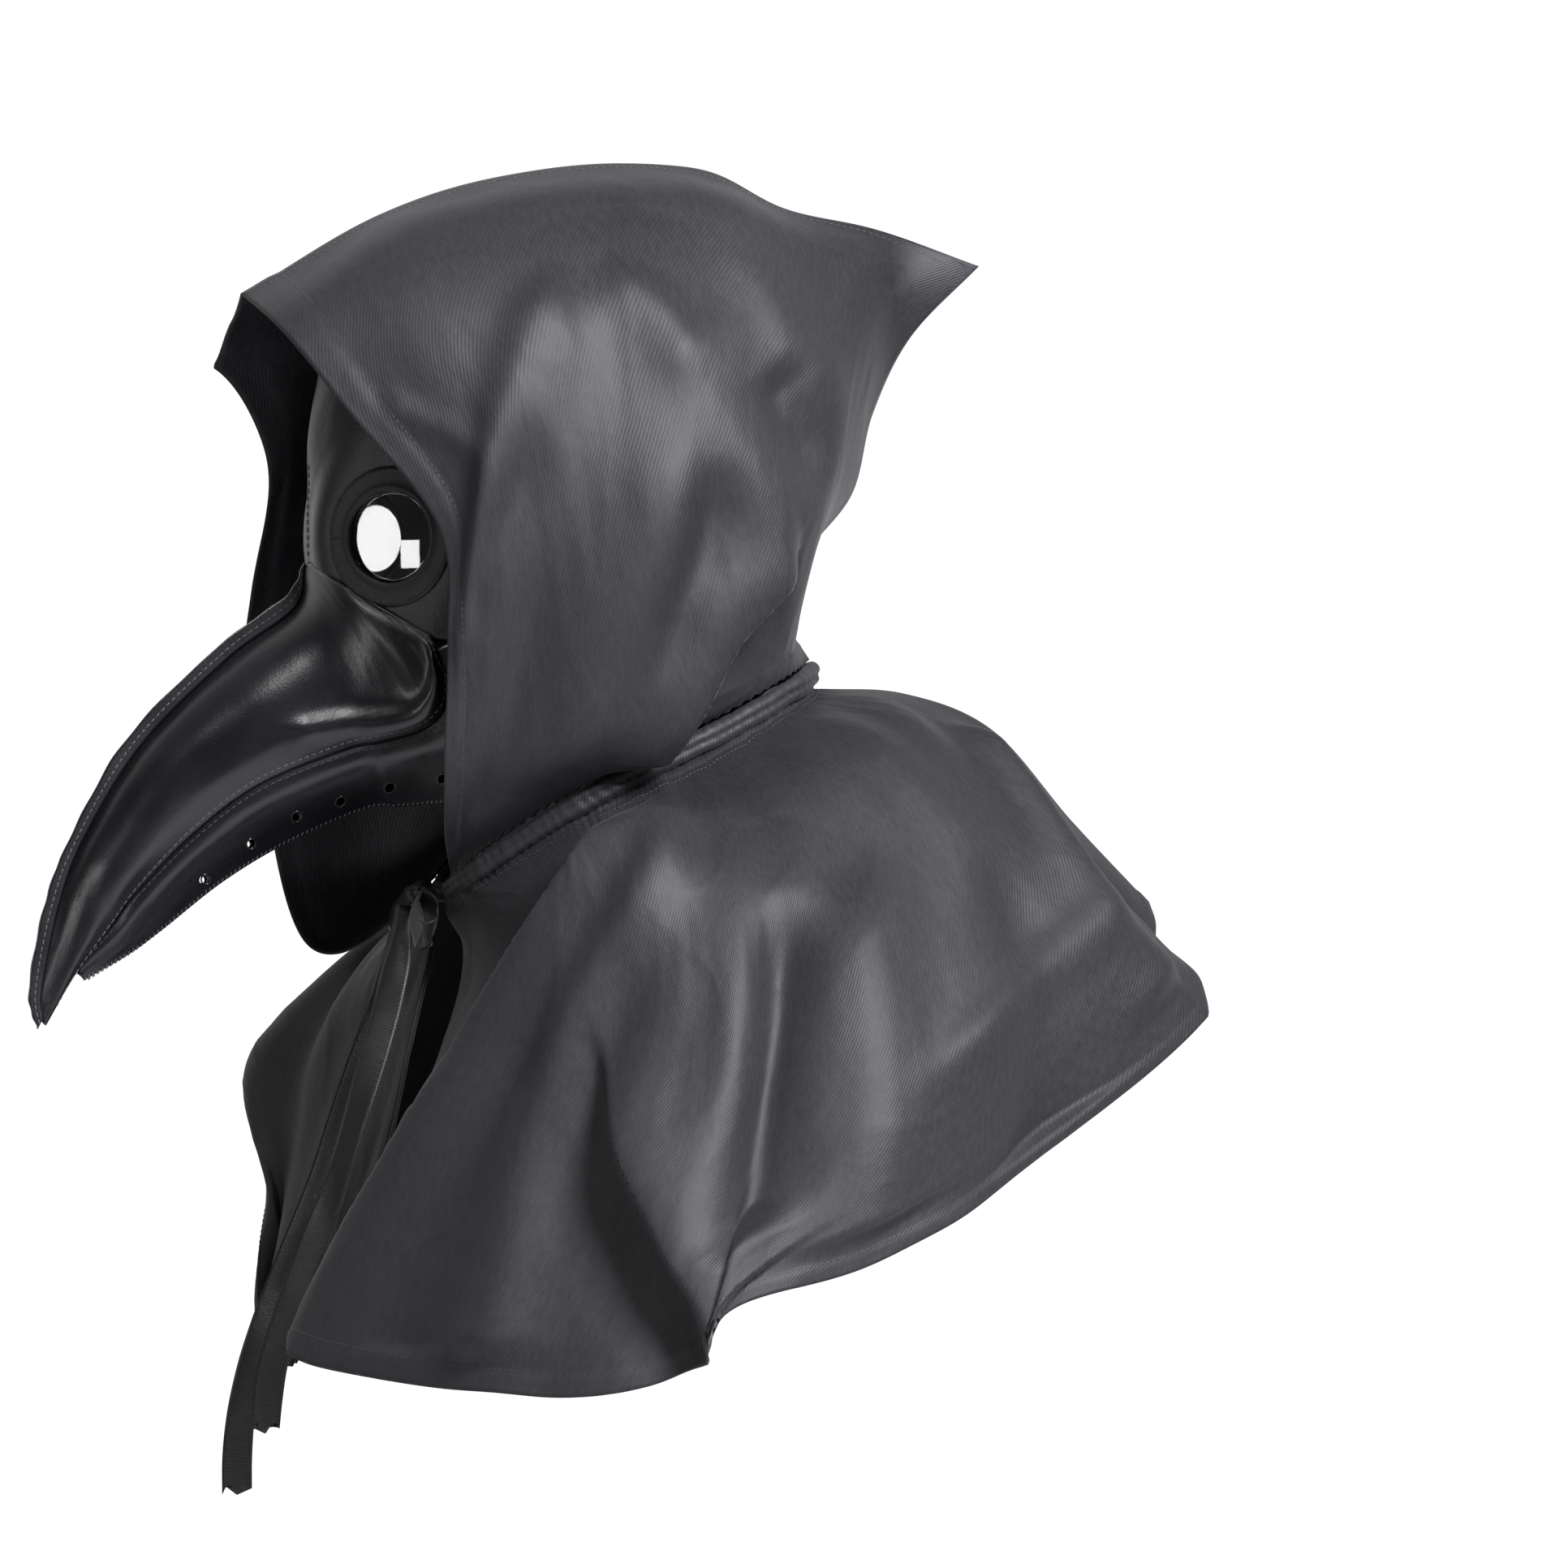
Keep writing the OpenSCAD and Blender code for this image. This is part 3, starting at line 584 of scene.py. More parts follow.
JAW_REST = [
    [[1.8, -229.5, -203], [2, -228.5, -205], [1.6, -227, -207]],
    [[5, -229, -199], [4, -227, -202], [1.6, -222, -204]],
    [[9, -215, -182], [9, -212, -189], [1.6, -205, -194]],
    [[15, -203, -165], [14, -198, -174], [1.6, -190, -183]],
    [[24, -176, -137], [22, -170, -148], [1.6, -162, -161]],
    [[34, -147, -115], [31, -140, -128], [1.6, -132, -143]],
    [[46, -108, -99], [42, -102, -112], [8, -96, -127]],
    [[52, -93, -96], [49, -88, -109], [14, -80, -126]],
    [[61, -74, -90], [58, -68, -104], [26, -60, -124]],
    [[67, -65, -80], [66, -56, -98], [40, -45, -122]],
    [[70, -65, -63], [74, -46, -92], [53, -30, -122]],
    [[70, -67, -51], [78, -40, -84], [60, -18, -125]],
    [[82, -25, -43], [83, -12, -84], [63, -2, -127]],
    [[87, 8, -37], [84, 13, -84], [65, 12, -129]]]
VENTS = [[-172, -160], [-150, -143], [-130, -131], [-109, -123], [-87, -117], [-64, -113], [-41, -112]]
STRAP = [[81, 20, 48], [82.5, 38, 46], [80, 62, 40], [67, 88, 33], [42, 106, 28], [0, 114, 26]]


def jaw_net():
    rows = []
    for a, b, c in np.asarray(JAW_REST, float):
        rows.append([a, (a + 2 * b) / 3 + [1, 0, 0], (2 * b + c) / 3, c])
    return rows


def face_grid(ps, qs):
    """Points of the wrapped forehead panel: ps run from the right temple to the left, qs upwards."""
    u = np.abs(ps)
    low, high = spline(FACE_LOW, u)[:, None], spline(FACE_HIGH, u)[:, None]
    z = low * (1 - qs) + high * qs
    angle = np.radians((91 - 9 * smooth((20 - z) / 40)) * ps[:, None])
    top = smooth((z - 40) / 60)
    grid = np.stack([(TEMPLE_HALF_W - 10 * top) * np.sin(angle),
                     TEMPLE_Y - FACE_DEPTH * np.cos(angle) + 8 * top * np.cos(angle), z], -1)
    side = np.where(grid[..., :1] < 0, -1.0, 1.0)
    folded = grid * np.concatenate([side, np.ones_like(side), np.ones_like(side)], -1)
    d = folded - EYE_CENTRE
    h = (d @ EYE_NORMAL)[..., None]
    r = np.linalg.norm(d - h * EYE_NORMAL, axis=-1, keepdims=True)
    folded = folded - (1 - smooth((r - EYE_FLAT_R) / EYE_BLEND)) * h * EYE_NORMAL
    return folded * np.concatenate([side, np.ones_like(side), np.ones_like(side)], -1)


def finish_piece(obj, body, slot, *nodes):
    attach(obj, body)
    if nodes:
        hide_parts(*nodes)
    return obj


def edge_roll(grid, side, at, width, height, edges):
    """Raises the surface a little along its edges, as folded and stitched leather or cloth is."""
    along, across = at[-1, -1]
    lift = np.zeros(grid.shape[:2])
    distance = {"u0": at[..., 0], "u1": along - at[..., 0], "v0": at[..., 1], "v1": across - at[..., 1]}
    for edge in edges:
        lift = np.maximum(lift, smooth(1 - (distance[edge] - 0.7 * width) / (0.3 * width)))
    return grid + normals(grid, side) * (height * lift)[..., None]


def build_face():
    ps, qs = np.linspace(-1, 1, 181), np.linspace(0, 1, 71)
    grid = face_grid(ps, qs)
    at = flat_coords(grid, np.linspace(0, 1, 181), qs)
    relief = 0.35 * waves(at, 55, 5) + 0.12 * waves(at, 18, 6)
    ring = np.linalg.norm(np.abs(grid) * [1, 0, 1] - [EYE_CENTRE[0], 0, 0], axis=-1)
    relief *= smooth((ring - 36) / 20)
    relief -= 0.8 * np.exp(-(grid[..., 0] / 1.2) ** 2) * smooth((46 - grid[..., 2]) / 12)
    grid = grid + normals(grid, 1) * relief[..., None]
    obj = shell("face_leather", grid, LEATHER_T, 1, leather_grain, at)
    holes = [cylinder(EYE_CENTRE * [s, 1, 1], EYE_NORMAL * [s, 1, 1], EYE_HOLE_D / 2, 24, 72) for s in (1, -1)]
    cut(obj, holes)
    finish_piece(obj, "mask", "grain_leather", "face_panel")
    # centre seam of the brow, with a row of stitches on each side
    parts = []
    outward = normals(grid, 1)
    for column in (88, 92):
        rows = slice(2, 34)
        parts.append(stitches("brow", grid[column, rows], outward[column, rows], thread_dark, 3.4, 2.4, 0.28))
    for column in (2, 178):
        parts.append(stitches("temple", grid[column, 3:-3], outward[column, 3:-3], thread_dark, 3.2, 2.3, 0.28))
    parts.append(stitches("brow_top", grid[3:-3, 68], outward[3:-3, 68], thread_dark, 3.4, 2.4, 0.28))
    finish_piece(joined("face_stitches", parts), "mask", "grain_leather")


def eased(grid, weight, times=150):
    """Evens out a grid inside its edges, where weight along its rows is not zero."""
    grid = grid.copy()
    w = 0.5 * weight[1:-1, None, None]
    for _ in range(times):
        around = (grid[:-2, 1:-1] + grid[2:, 1:-1] + grid[1:-1, :-2] + grid[1:-1, 2:]) / 4
        grid[1:-1, 1:-1] += w * (around - grid[1:-1, 1:-1])
    return grid


def beak_grids(side):
    us, vs = np.linspace(0, 1, 161), np.linspace(0, 1, 41)
    grid = eased(surface(BEAK, us, vs), smooth((us - 0.5) / 0.12))
    at = flat_coords(grid, us, vs)
    out = normals(grid, -1)
    crease = fold(at, at[-1, -1], [(0.50, 0.70), (0.54, 0.76), (0.57, 0.81), (0.645, 0.87), (0.78, 0.90), (0.85, 0.86),
                                   (0.90, 0.80), (0.95, 0.70), (0.975, 0.50), (0.98, 0.25)], 4.8, 8.0, 4.2, 0.2, 0.2)
    hollow = fold(at, at[-1, -1], [(0.52, 0.58), (0.62, 0.66), (0.75, 0.70), (0.84, 0.66)], -2.6, 9, 13, 0.4, 0.3)
    relief = (crease + hollow + 0.3 * waves(at, 45, 11) + 0.1 * waves(at, 14, 12)) * smooth(at[..., 1] / 6)
    relief *= smooth((at[-1, -1, 1] - at[..., 1]) / 4) * smooth(at[..., 0] / 10)
    grid = grid + out * relief[..., None]
    grid[..., 0] = np.maximum(grid[..., 0], 1.6)
    steps = np.linspace(0, 1, 131)
    edge = spline(RIDGE_EDGE, steps)
    share = (len(RIDGE_EDGE) - 1) / (len(BEAK) - 1)
    root = surface(BEAK, share * steps, [0.0])[:, 0]
    root[:, 0] = np.maximum(root[:, 0], 1.6)
    flange = edge[:, None] + (root - edge)[:, None] * np.linspace(0, 1, 7)[None, :, None]
    flange[:, 0] += 0.25 * np.stack([np.zeros(131), np.sin(steps * 90), np.cos(steps * 70)], -1)
    if side < 0:
        grid, flange = mirrored(grid), mirrored(flange)
    return grid, at, flange, steps


def build_beak(side, name, node):
    grid, at, flange, steps = beak_grids(side)
    body = shell("beak", grid, LEATHER_T, -side, leather_smooth, at)
    flat = np.stack(np.meshgrid(steps * 300, np.linspace(0, 8, 7), indexing="ij"), -1)
    ridge = shell("ridge", flange, LEATHER_T, -side, leather_smooth, flat)
    finish_piece(joined(name, [body, ridge]), "mask", "smooth_leather", node)
    out = normals(grid, -side)
    ridge_out = np.broadcast_to([side, 0, 0], flange[:, 0].shape)
    parts = [stitches("ridge_row", flange[:, 3], ridge_out, thread_light, 3.4, 2.5, 0.30),
             stitches("seam_row", grid[6:, 38], out[6:, 38], thread_light, 3.6, 2.6, 0.32),
             stitches("cheek_row", grid[158, 3:-3], out[158, 3:-3], thread_dark, 3.4, 2.4, 0.28)]
    finish_piece(joined(name + "_stitches", parts), "mask", "smooth_leather")


def build_jaw(side, name, node):
    us, vs = np.linspace(0, 1, 161), np.linspace(0, 1, 41)
    grid = surface(jaw_net(), us, vs)
    at = flat_coords(grid, us, vs)
    relief = (0.35 * waves(at, 50, 21) + 0.1 * waves(at, 15, 22)) * smooth(at[..., 1] / 5)
    relief *= smooth((at[-1, -1, 1] - at[..., 1]) / 5)
    grid = grid + normals(grid, -1) * relief[..., None]
    if side < 0:
        grid = mirrored(grid)
    obj = shell(name, grid, LEATHER_T, -side, leather_smooth, at)
    holes = [cylinder([side * 49, y, z], [1, 0, 0], VENT_D / 2, 90, 20) for y, z in VENTS]
    cut(obj, holes)
    finish_piece(obj, "mask", "smooth_leather", node)
    out = normals(grid, -side)
    rims = [vent_rim(grid, out, y, z) for y, z in VENTS]
    finish_piece(joined(name + "_vents", rims), "mask", "smooth_leather")
    parts = [stitches("seam_row", grid[8:, 3], out[8:, 3], thread_dark, 3.6, 2.6, 0.26),
             stitches("keel_whip", grid[4:, 39], out[4:, 39], thread_light, 2.4, 2.8, 0.36, 1.0),
             stitches("temple_row", grid[157, 2:-2], out[157, 2:-2], thread_dark, 3.4, 2.4, 0.28)]
    finish_piece(joined(name + "_stitches", parts), "mask", "smooth_leather")


def vent_rim(grid, out, y, z):
    """Pressed edge round one punched vent hole."""
    spot = np.unravel_index(((grid[..., 1] - y) ** 2 + (grid[..., 2] - z) ** 2).argmin(), grid.shape[:2])
    centre, normal = grid[spot], out[spot]
    a = np.linspace(0, 2 * math.pi, 24, endpoint=False)
    ring = np.stack([np.zeros(24), np.cos(a), np.sin(a)], -1) * (VENT_D / 2 + 0.35)
    ring -= np.outer(ring @ normal, [1 / normal[0], 0, 0])
    path = centre + ring + normal * 0.05
    b = np.linspace(0, 2 * math.pi, 8, endpoint=False)
    radial = unit(ring)
    rings = path[:, None] + 0.42 * (np.cos(b)[None, :, None] * radial[:, None] + np.sin(b)[None, :, None] * normal)
    return tube("vent_rim", rings, leather_smooth, closed=True)


def build_eye_ring(side, name, node):
    """Leather ring round the lens: rolled inner lip, flat face, bevelled outer edge, two rows of stitches."""
    profile = [(21.5, -0.1), (21.5, 1.3), (21.9, 2.0), (22.8, 2.3), (23.8, 2.1), (24.8, 1.7), (27.0, 1.5), (30.5, 1.5),
               (32.0, 1.35), (32.8, 0.9), (33.0, 0.3), (33.0, -0.1)]
    a = np.linspace(0, 2 * math.pi, 144, endpoint=False)
    normal = EYE_NORMAL * [side, 1, 1]
    across = unit(np.cross(normal, [0, 0, 1]))
    up = np.cross(across, normal)
    centre = EYE_CENTRE * [side, 1, 1]
    around = np.cos(a)[:, None] * across + np.sin(a)[:, None] * up
    wobble = 0.15 * np.sin(3 * a + 1) + 0.1 * np.sin(7 * a)
    rings = np.stack([centre + r * around + (h + 0.05 + wobble[:, None] * 0.4 * (1.5 < h)) * normal for r, h in profile], 1)
    if side * np.dot(np.cross(rings[1, 0] - rings[0, 0], rings[0, 1] - rings[0, 0]), centre - rings[0, 0]) < 0:
        rings = rings[:, ::-1]
    uv = np.stack(np.meshgrid(a * 27, np.linspace(0, 14, len(profile)), indexing="ij"), -1).reshape(-1, 2)
    obj = tube(name, rings, leather_ring, closed=True, uv=uv)
    finish_piece(obj, "mask", "ring_leather", node)
    parts = []
    for radius in (25.6, 31.0):
        b = np.linspace(0, 2 * math.pi, 181)
        path = centre + radius * (np.cos(b)[:, None] * across + np.sin(b)[:, None] * up) + 1.6 * normal
        parts.append(stitches("ring_row", path, np.broadcast_to(normal, path.shape), thread_dark, 3.1, 2.2, 0.26))
    finish_piece(joined(name + "_stitches", parts), "mask", "ring_leather")


def build_lens(side, name, node):
    """Clear lens, domed a little outwards, resting behind the ring."""
    radii = np.array([22.4, 20, 17, 14, 11, 8, 5, 2])
    dome = LENS_DOME * (1 - (radii / 22.4) ** 2)
    a = np.linspace(0, 2 * math.pi, 72, endpoint=False)
    normal = EYE_NORMAL * [side, 1, 1]
    across = unit(np.cross(normal, [0, 0, 1]))
    up = np.cross(across, normal) * side
    centre = EYE_CENTRE * [side, 1, 1]
    around = np.cos(a)[:, None] * across + np.sin(a)[:, None] * up
    front = [centre + r * around + (h - 1.6) * normal for r, h in zip(radii, dome)]
    back = [centre + r * around + (h - 2.2) * normal for r, h in zip(radii, dome)]
    rings = np.stack(front[::-1] + back)
    finish_piece(tube(name, rings, clear_lens), "mask", "clear_lens", node)


def build_strap():
    """Elastic strap: a woven band, a little thinner at its edges, from temple to temple round the back of the head."""
    half = spline(STRAP, np.linspace(0, 1, 61))
    path = np.concatenate([half, mirrored(half[-2::-1])])
    section = flat_section(24.0, 1.5, 15)
    rings = swept(path, [0, 0, 1], section)
    obj = tube("strap_band", rings, elastic)
    finish_piece(obj, "strap", "elastic", "head_strap")


build_face()
for side, word in ((1, "left"), (-1, "right")):
    build_beak(side, f"beak_leather_{word}", f"beak_{word}")
    build_jaw(side, f"jaw_leather_{word}", f"jaw_{word}")
    build_eye_ring(side, f"eye_ring_leather_{word}", f"eye_ring_{word}")
    build_lens(side, f"lens_clear_{word}", f"lens_{word}")
build_strap()

# ---- hood --------------------------------------------------------------------------------------
CLOTH_T = 0.9
HOOD_BACK = [
    [[0.2, 38, 174], [60, 40, 157], [102, 42, 112], [124, 44, 44], [122, 46, -22], [104, 46, -74], [91, 38, -92],
     [80, 26, -101]],
    [[0.2, 100, 154], [46, 98, 138], [84, 94, 96], [104, 90, 40], [100, 84, -16], [78, 76, -58], [71, 72, -73],
     [64, 65, -83]],
    [[0.2, 146, 144], [28, 138, 122], [54, 128, 78], [70, 118, 34], [62, 108, -8], [42, 101, -48], [39, 101, -57],
     [35, 101, -64]],
    [[0.2, 194, 127], [0.2, 162, 94], [0.2, 144, 58], [0.2, 134, 20], [0.2, 110, -12], [0.2, 107, -43],
     [0.2, 110, -51], [0.2, 114, -57]]]
HOOD_LEFT = [
    [[0.2, -153, 113], [68, -141, 95], [100, -114, 58], [112, -73, 4], [111, -68, -50], [102, -69, -104],
     [76, -66, -138], [20, -57, -158]],
    [[0.2, -90, 150], [64, -86, 136], [106, -76, 98], [126, -48, 40], [126, -40, -25], [112, -38, -94],
     [86, -40, -126], [51, -43, -144]],
    [[0.2, -30, 169], [64, -26, 154], [108, -18, 110], [128, -6, 42], [128, 0, -28], [114, 2, -84],
     [96, 0, -108], [77, -8, -120]]] + HOOD_BACK
HOOD_RIGHT = mirrored([
    [[0.2, -153, 113], [80, -151, 86], [100, -130, 32], [102, -138, -25], [100, -142, -66], [88, -138, -105],
     [46, -118, -172], [20, -66, -158]],
    [[0.2, -90, 150], [70, -90, 134], [108, -86, 92], [120, -84, 36], [122, -84, -28], [112, -84, -96],
     [78, -74, -154], [51, -44, -144]],
    [[0.2, -30, 169], [66, -28, 154], [110, -22, 108], [128, -18, 42], [128, -16, -28], [114, -12, -86],
     [96, -10, -116], [77, -8, -120]]] + HOOD_BACK)
# Folds of the near half: guide from the rim to the back (0 to 1) and from the crest to the neck (0 to 1),
# height, and how wide it is to the left and to the right of its direction
HOOD_FOLDS_LEFT = [
    ([(0.38, 0.25), (0.30, 0.31), (0.24, 0.37), (0.13, 0.46), (0.06, 0.56), (0.04, 0.66)], 7.0, 9, 20, 0.2, 0.3),
    ([(0.28, 0.40), (0.19, 0.48), (0.10, 0.54), (0.05, 0.60)], -4.0, 12, 12, 0.3, 0.3),
    ([(0.38, 0.25), (0.46, 0.31), (0.52, 0.38)], 4.0, 14, 10, 0.3, 0.3),
    ([(0.57, 0.02), (0.58, 0.18), (0.62, 0.26), (0.70, 0.31), (0.86, 0.33)], 3.2, 14, 16, 0.2, 0.2),
    ([(0.62, 0.27), (0.53, 0.37), (0.57, 0.43), (0.66, 0.49), (0.88, 0.53)], 3.6, 15, 15, 0.2, 0.2),
    ([(0.63, 0.33), (0.69, 0.39), (0.84, 0.45)], -5.5, 15, 15, 0.3, 0.3),
    ([(0.52, 0.39), (0.46, 0.48), (0.38, 0.59), (0.32, 0.72), (0.26, 0.92)], 6.0, 24, 22, 0.3, 0.3),
    ([(0.53, 0.44), (0.52, 0.52), (0.47, 0.60), (0.42, 0.70)], -4.5, 12, 12, 0.3, 0.3),
    ([(0.29, 0.50), (0.18, 0.64), (0.13, 0.77), (0.12, 0.95)], -3.0, 14, 14, 0.3, 0.3),
    ([(0.04, 0.30), (0.10, 0.38), (0.16, 0.44)], 2.2, 6, 6, 0.2, 0.4)]
# Folds that overlap: guide, high side, height, slow width, depth beside it, its reach, fade at start and end
HOOD_STEPS_LEFT = [
    ([(0.74, 0.54), (0.63, 0.60), (0.54, 0.66), (0.48, 0.75), (0.46, 0.86), (0.47, 0.98)], 1, 15, 26, 13, 34, 0.15, 0.25)]
HOOD_FOLDS_RIGHT = [
    ([(0.40, 0.18), (0.28, 0.34), (0.14, 0.55), (0.06, 0.75)], 6.0, 14, 20, 0.2, 0.2),
    ([(0.60, 0.10), (0.62, 0.30), (0.72, 0.42), (0.88, 0.46)], 6.0, 12, 16, 0.2, 0.2),
    ([(0.55, 0.40), (0.46, 0.58), (0.36, 0.76), (0.30, 0.92)], 6.0, 22, 22, 0.3, 0.2),
    ([(0.48, 0.42), (0.38, 0.60), (0.26, 0.78)], -5.0, 14, 14, 0.3, 0.3),
    ([(0.66, 0.40), (0.74, 0.50), (0.88, 0.56)], -6.0, 14, 14, 0.3, 0.3)]


def hood_piece(obj, slot="satin", *nodes):
    """Bakes the hood cloth's placing into its mesh and hides the CAD parts that it replaces."""
    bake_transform(obj)
    if nodes:
        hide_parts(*nodes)
    return obj


def cloth_relief(at, seed):
    """Small uneven undulations that all hanging cloth has."""
    long_waves = waves(at, 70, seed, stretch=(0.8, 1.8))
    short = waves(at, 24, seed + 1, stretch=(0.8, 2.0))
    creases = (1 - np.abs(waves(at, 60, seed + 2, 10))) ** 6
    return 1.1 * long_waves + 0.2 * short + 0.3 * creases


def build_hood(net, side, name, folds, steps, seed, nodes):
    us, vs = np.linspace(0, 1, 151), np.linspace(0, 1, 171)
    grid = surface(net, us, vs)
    at = flat_coords(grid, us, vs)
    size = at[-1, -1]
    out = normals(grid, -side)
    relief = cloth_relief(at, seed)
    for guide, height, left, right, start, end in folds:
        relief += 1.3 * fold(at, size, guide, height, left, right, start, end)
    for values in steps:
        relief += step(at, size, *values)
    v, u = vs[None, :], us[:, None]
    relief *= smooth(v / 0.07) * smooth((1 - u) / 0.10) * smooth((1 - v) / 0.16)
    gathers = np.sin(at[..., 0] * 2 * math.pi / 6.5 + 1.5 * waves(at, 40, seed + 5)) * np.exp(-(1 - v) * size[1] / 9)
    grid = grid + out * (relief + 0.7 * gathers)[..., None]
    grid = edge_roll(grid, -side, at, 14.0, 0.9, ["u0"])
    grid[..., 2] += 5 * np.exp(-(((u - 0.585) / 0.06) ** 2)) * np.exp(-v / 0.12)
    if side < 0:
        near_rim = np.exp(-at[..., 0] / 14)
        grid[..., 1] -= 9 * near_rim * np.exp(-np.abs(grid[..., 2] - 80) / 8)
        sag = np.sin(math.pi * np.clip((v - 0.78) / 0.235, 0, 1)) ** 0.7 * np.exp(-((at[..., 0] / 45) ** 2))
        grid[..., 2] -= 20 * sag
    hem_wave = 1.2 * np.sin(at[..., 1] / 21 + seed) * np.exp(-at[..., 0] / 16) * smooth(v / 0.1) * smooth((1 - v) / 0.1)
    grid = grid + out * hem_wave[..., None]
    # The inner faces take the lighter satin: painted light inside the hood
    obj = shell(name, grid, CLOTH_T, -side, satin, at, hood_inside_painted_light)
    hood_piece(obj, "satin", *nodes)
    out = normals(grid, -side)
    row = int(round(13.0 / size[0] * 150))
    parts = [stitches("rim_row", grid[row, 4:-6], out[row, 4:-6], thread_dark, 3.2, 2.3, 0.2),
             stitches("crest_row", grid[4:-4, 3], out[4:-4, 3], thread_dark, 3.2, 2.3, 0.2)]
    seam = hood_piece(joined(name + "_stitches", parts))
    return obj


# ---- neck band ---------------------------------------------------------------------------------
NECK_HALF = [[24, -58, -166], [51, -44, -152], [78, -8, -127], [82, 27, -108], [65, 66, -90], [36, 102, -71], [0, 115, -64]]
BAND_R = 4.5


def neck_path(steps):
    half = spline(NECK_HALF, np.linspace(0, 1, steps))
    return np.concatenate([half, mirrored(half[-2::-1])])


def build_band():
    """Casing of the ribbon: two parallel rolls of cloth, gathered along their seam, open at the front."""
    path = neck_path(260)
    length = np.concatenate([[0], np.cumsum(np.linalg.norm(np.diff(path, axis=0), axis=-1))])
    a = np.linspace(0, 2 * math.pi, 28, endpoint=False)
    at = np.stack(np.meshgrid(length, a * 5, indexing="ij"), -1)
    groove = np.exp(-((np.angle(np.exp(1j * (a - math.pi / 2))) / 0.30) ** 2)) \
        + np.exp(-((np.angle(np.exp(1j * (a + math.pi / 2))) / 0.30) ** 2))
    pleats = 0.28 * np.sin(length[:, None] / 0.95 + 2.5 * waves(at, 18, 41)) * (0.4 + groove[None])
    radius = BAND_R + 0.5 - 1.5 * groove[None] + pleats + 0.45 * waves(at, 22, 42)
    section = np.stack([np.cos(a) * radius * 1.12, np.sin(a) * radius * 0.86], -1)
    rings = swept(path, [0, 0, 1], section)
    obj = tube("neck_band_cloth", rings, satin_band)
    return finish_piece(obj, "cape", "satin", "neck_band", "neck_ribbon")


band = build_band()
build_hood(HOOD_LEFT, 1, "hood_cloth_left", HOOD_FOLDS_LEFT, HOOD_STEPS_LEFT, 60, ("hood_left", "hood_neck_left"))
build_hood(HOOD_RIGHT, -1, "hood_cloth_right", HOOD_FOLDS_RIGHT, [], 80, ("hood_right", "hood_neck_right"))

# ---- cape --------------------------------------------------------------------------------------
CAPE_LEFT = [
    [[26, -60, -173], [18, -58, -205], [24, -76, -258], [32, -97, -318], [40, -123, -383]],
    [[51, -44, -159], [96, -26, -172], [102, -48, -232], [92, -82, -300], [74, -121, -387]],
    [[78, -8, -134], [128, 4, -165], [152, -10, -235], [160, -36, -315], [162, -60, -395]],
    [[82, 27, -115], [150, 38, -160], [188, 38, -230], [206, 24, -310], [212, -4, -391]],
    [[74, 48, -107], [140, 72, -145], [192, 78, -215], [216, 68, -290], [228, 50, -355]],
    [[62, 71, -95], [114, 110, -125], [166, 128, -190], [194, 134, -265], [206, 122, -334]],
    [[46, 93, -83], [80, 142, -100], [120, 182, -160], [142, 206, -225], [144, 204, -288]],
    [[24, 109, -75], [42, 158, -84], [62, 212, -132], [68, 254, -184], [64, 286, -224]],
    [[0.2, 115, -71], [0.2, 158, -73], [0.2, 200, -90], [0.2, 238, -133], [0.2, 274, -171]]]
CAPE_RIGHT = mirrored([
    [[26, -60, -173], [8, -68, -212], [3, -86, -290], [2, -112, -350], [2, -128, -388]],
    [[51, -44, -159], [74, -82, -200], [66, -104, -256], [60, -122, -322], [52, -143, -384]],
    [[78, -8, -134], [120, -72, -182], [144, -122, -228], [152, -136, -258], [124, -118, -294]],
    [[82, 27, -115], [150, -34, -160], [190, -64, -215], [206, -74, -262], [205, -70, -300]],
    [[74, 48, -107], [150, 24, -140], [204, 10, -205], [226, 2, -262], [230, -2, -300]],
    [[62, 71, -95], [126, 76, -120], [180, 84, -180], [206, 90, -240], [212, 90, -284]],
    [[46, 93, -83], [86, 128, -98], [130, 158, -148], [154, 174, -205], [158, 178, -250]],
    [[24, 109, -75], [44, 150, -80], [68, 196, -115], [84, 232, -165], [86, 252, -205]],
    [[0.2, 115, -71], [0.2, 158, -73], [0.2, 200, -90], [0.2, 238, -133], [0.2, 274, -171]]])
# Folds: guide from the front edge to the centre back (0 to 1) and from the neck to the hem (0 to 1)
CAPE_FOLDS_LEFT = [
    ([(0.22, 0.40), (0.19, 0.60), (0.17, 0.80), (0.18, 0.97)], -4.0, 18, 18, 0.3, 0.05),
    ([(0.45, 0.05), (0.31, 0.29), (0.25, 0.45), (0.23, 0.62), (0.24, 0.79), (0.25, 0.97)], 8.0, 16, 16, 0.2, 0.05),
    ([(0.53, 0.33), (0.50, 0.50), (0.49, 0.72), (0.49, 0.88)], -15.0, 22, 22, 0.25, 0.2),
    ([(0.60, 0.34), (0.60, 0.50), (0.61, 0.71), (0.62, 0.95)], 7.0, 26, 30, 0.3, 0.05),
    ([(0.88, 0.68), (0.80, 0.67), (0.70, 0.69), (0.61, 0.74)], 5.0, 12, 16, 0.2, 0.3),
    ([(0.97, 0.36), (0.91, 0.44), (0.87, 0.58), (0.86, 0.72), (0.86, 0.92)], 8.0, 16, 14, 0.2, 0.1),
    ([(0.76, 0.40), (0.77, 0.60), (0.76, 0.85), (0.76, 0.98)], -6.0, 22, 22, 0.3, 0.05)]
CAPE_STEPS_LEFT = [
    ([(0.42, 0.03), (0.33, 0.07), (0.22, 0.19), (0.16, 0.30), (0.12, 0.48), (0.10, 0.74), (0.03, 0.99)], -1, 15, 42, 14,
     42, 0.2, 0.02),
    ([(0.26, 0.44), (0.32, 0.66), (0.38, 0.80), (0.44, 0.91), (0.47, 1.0)], -1, 15, 30, 14, 38, 0.35, 0.01)]
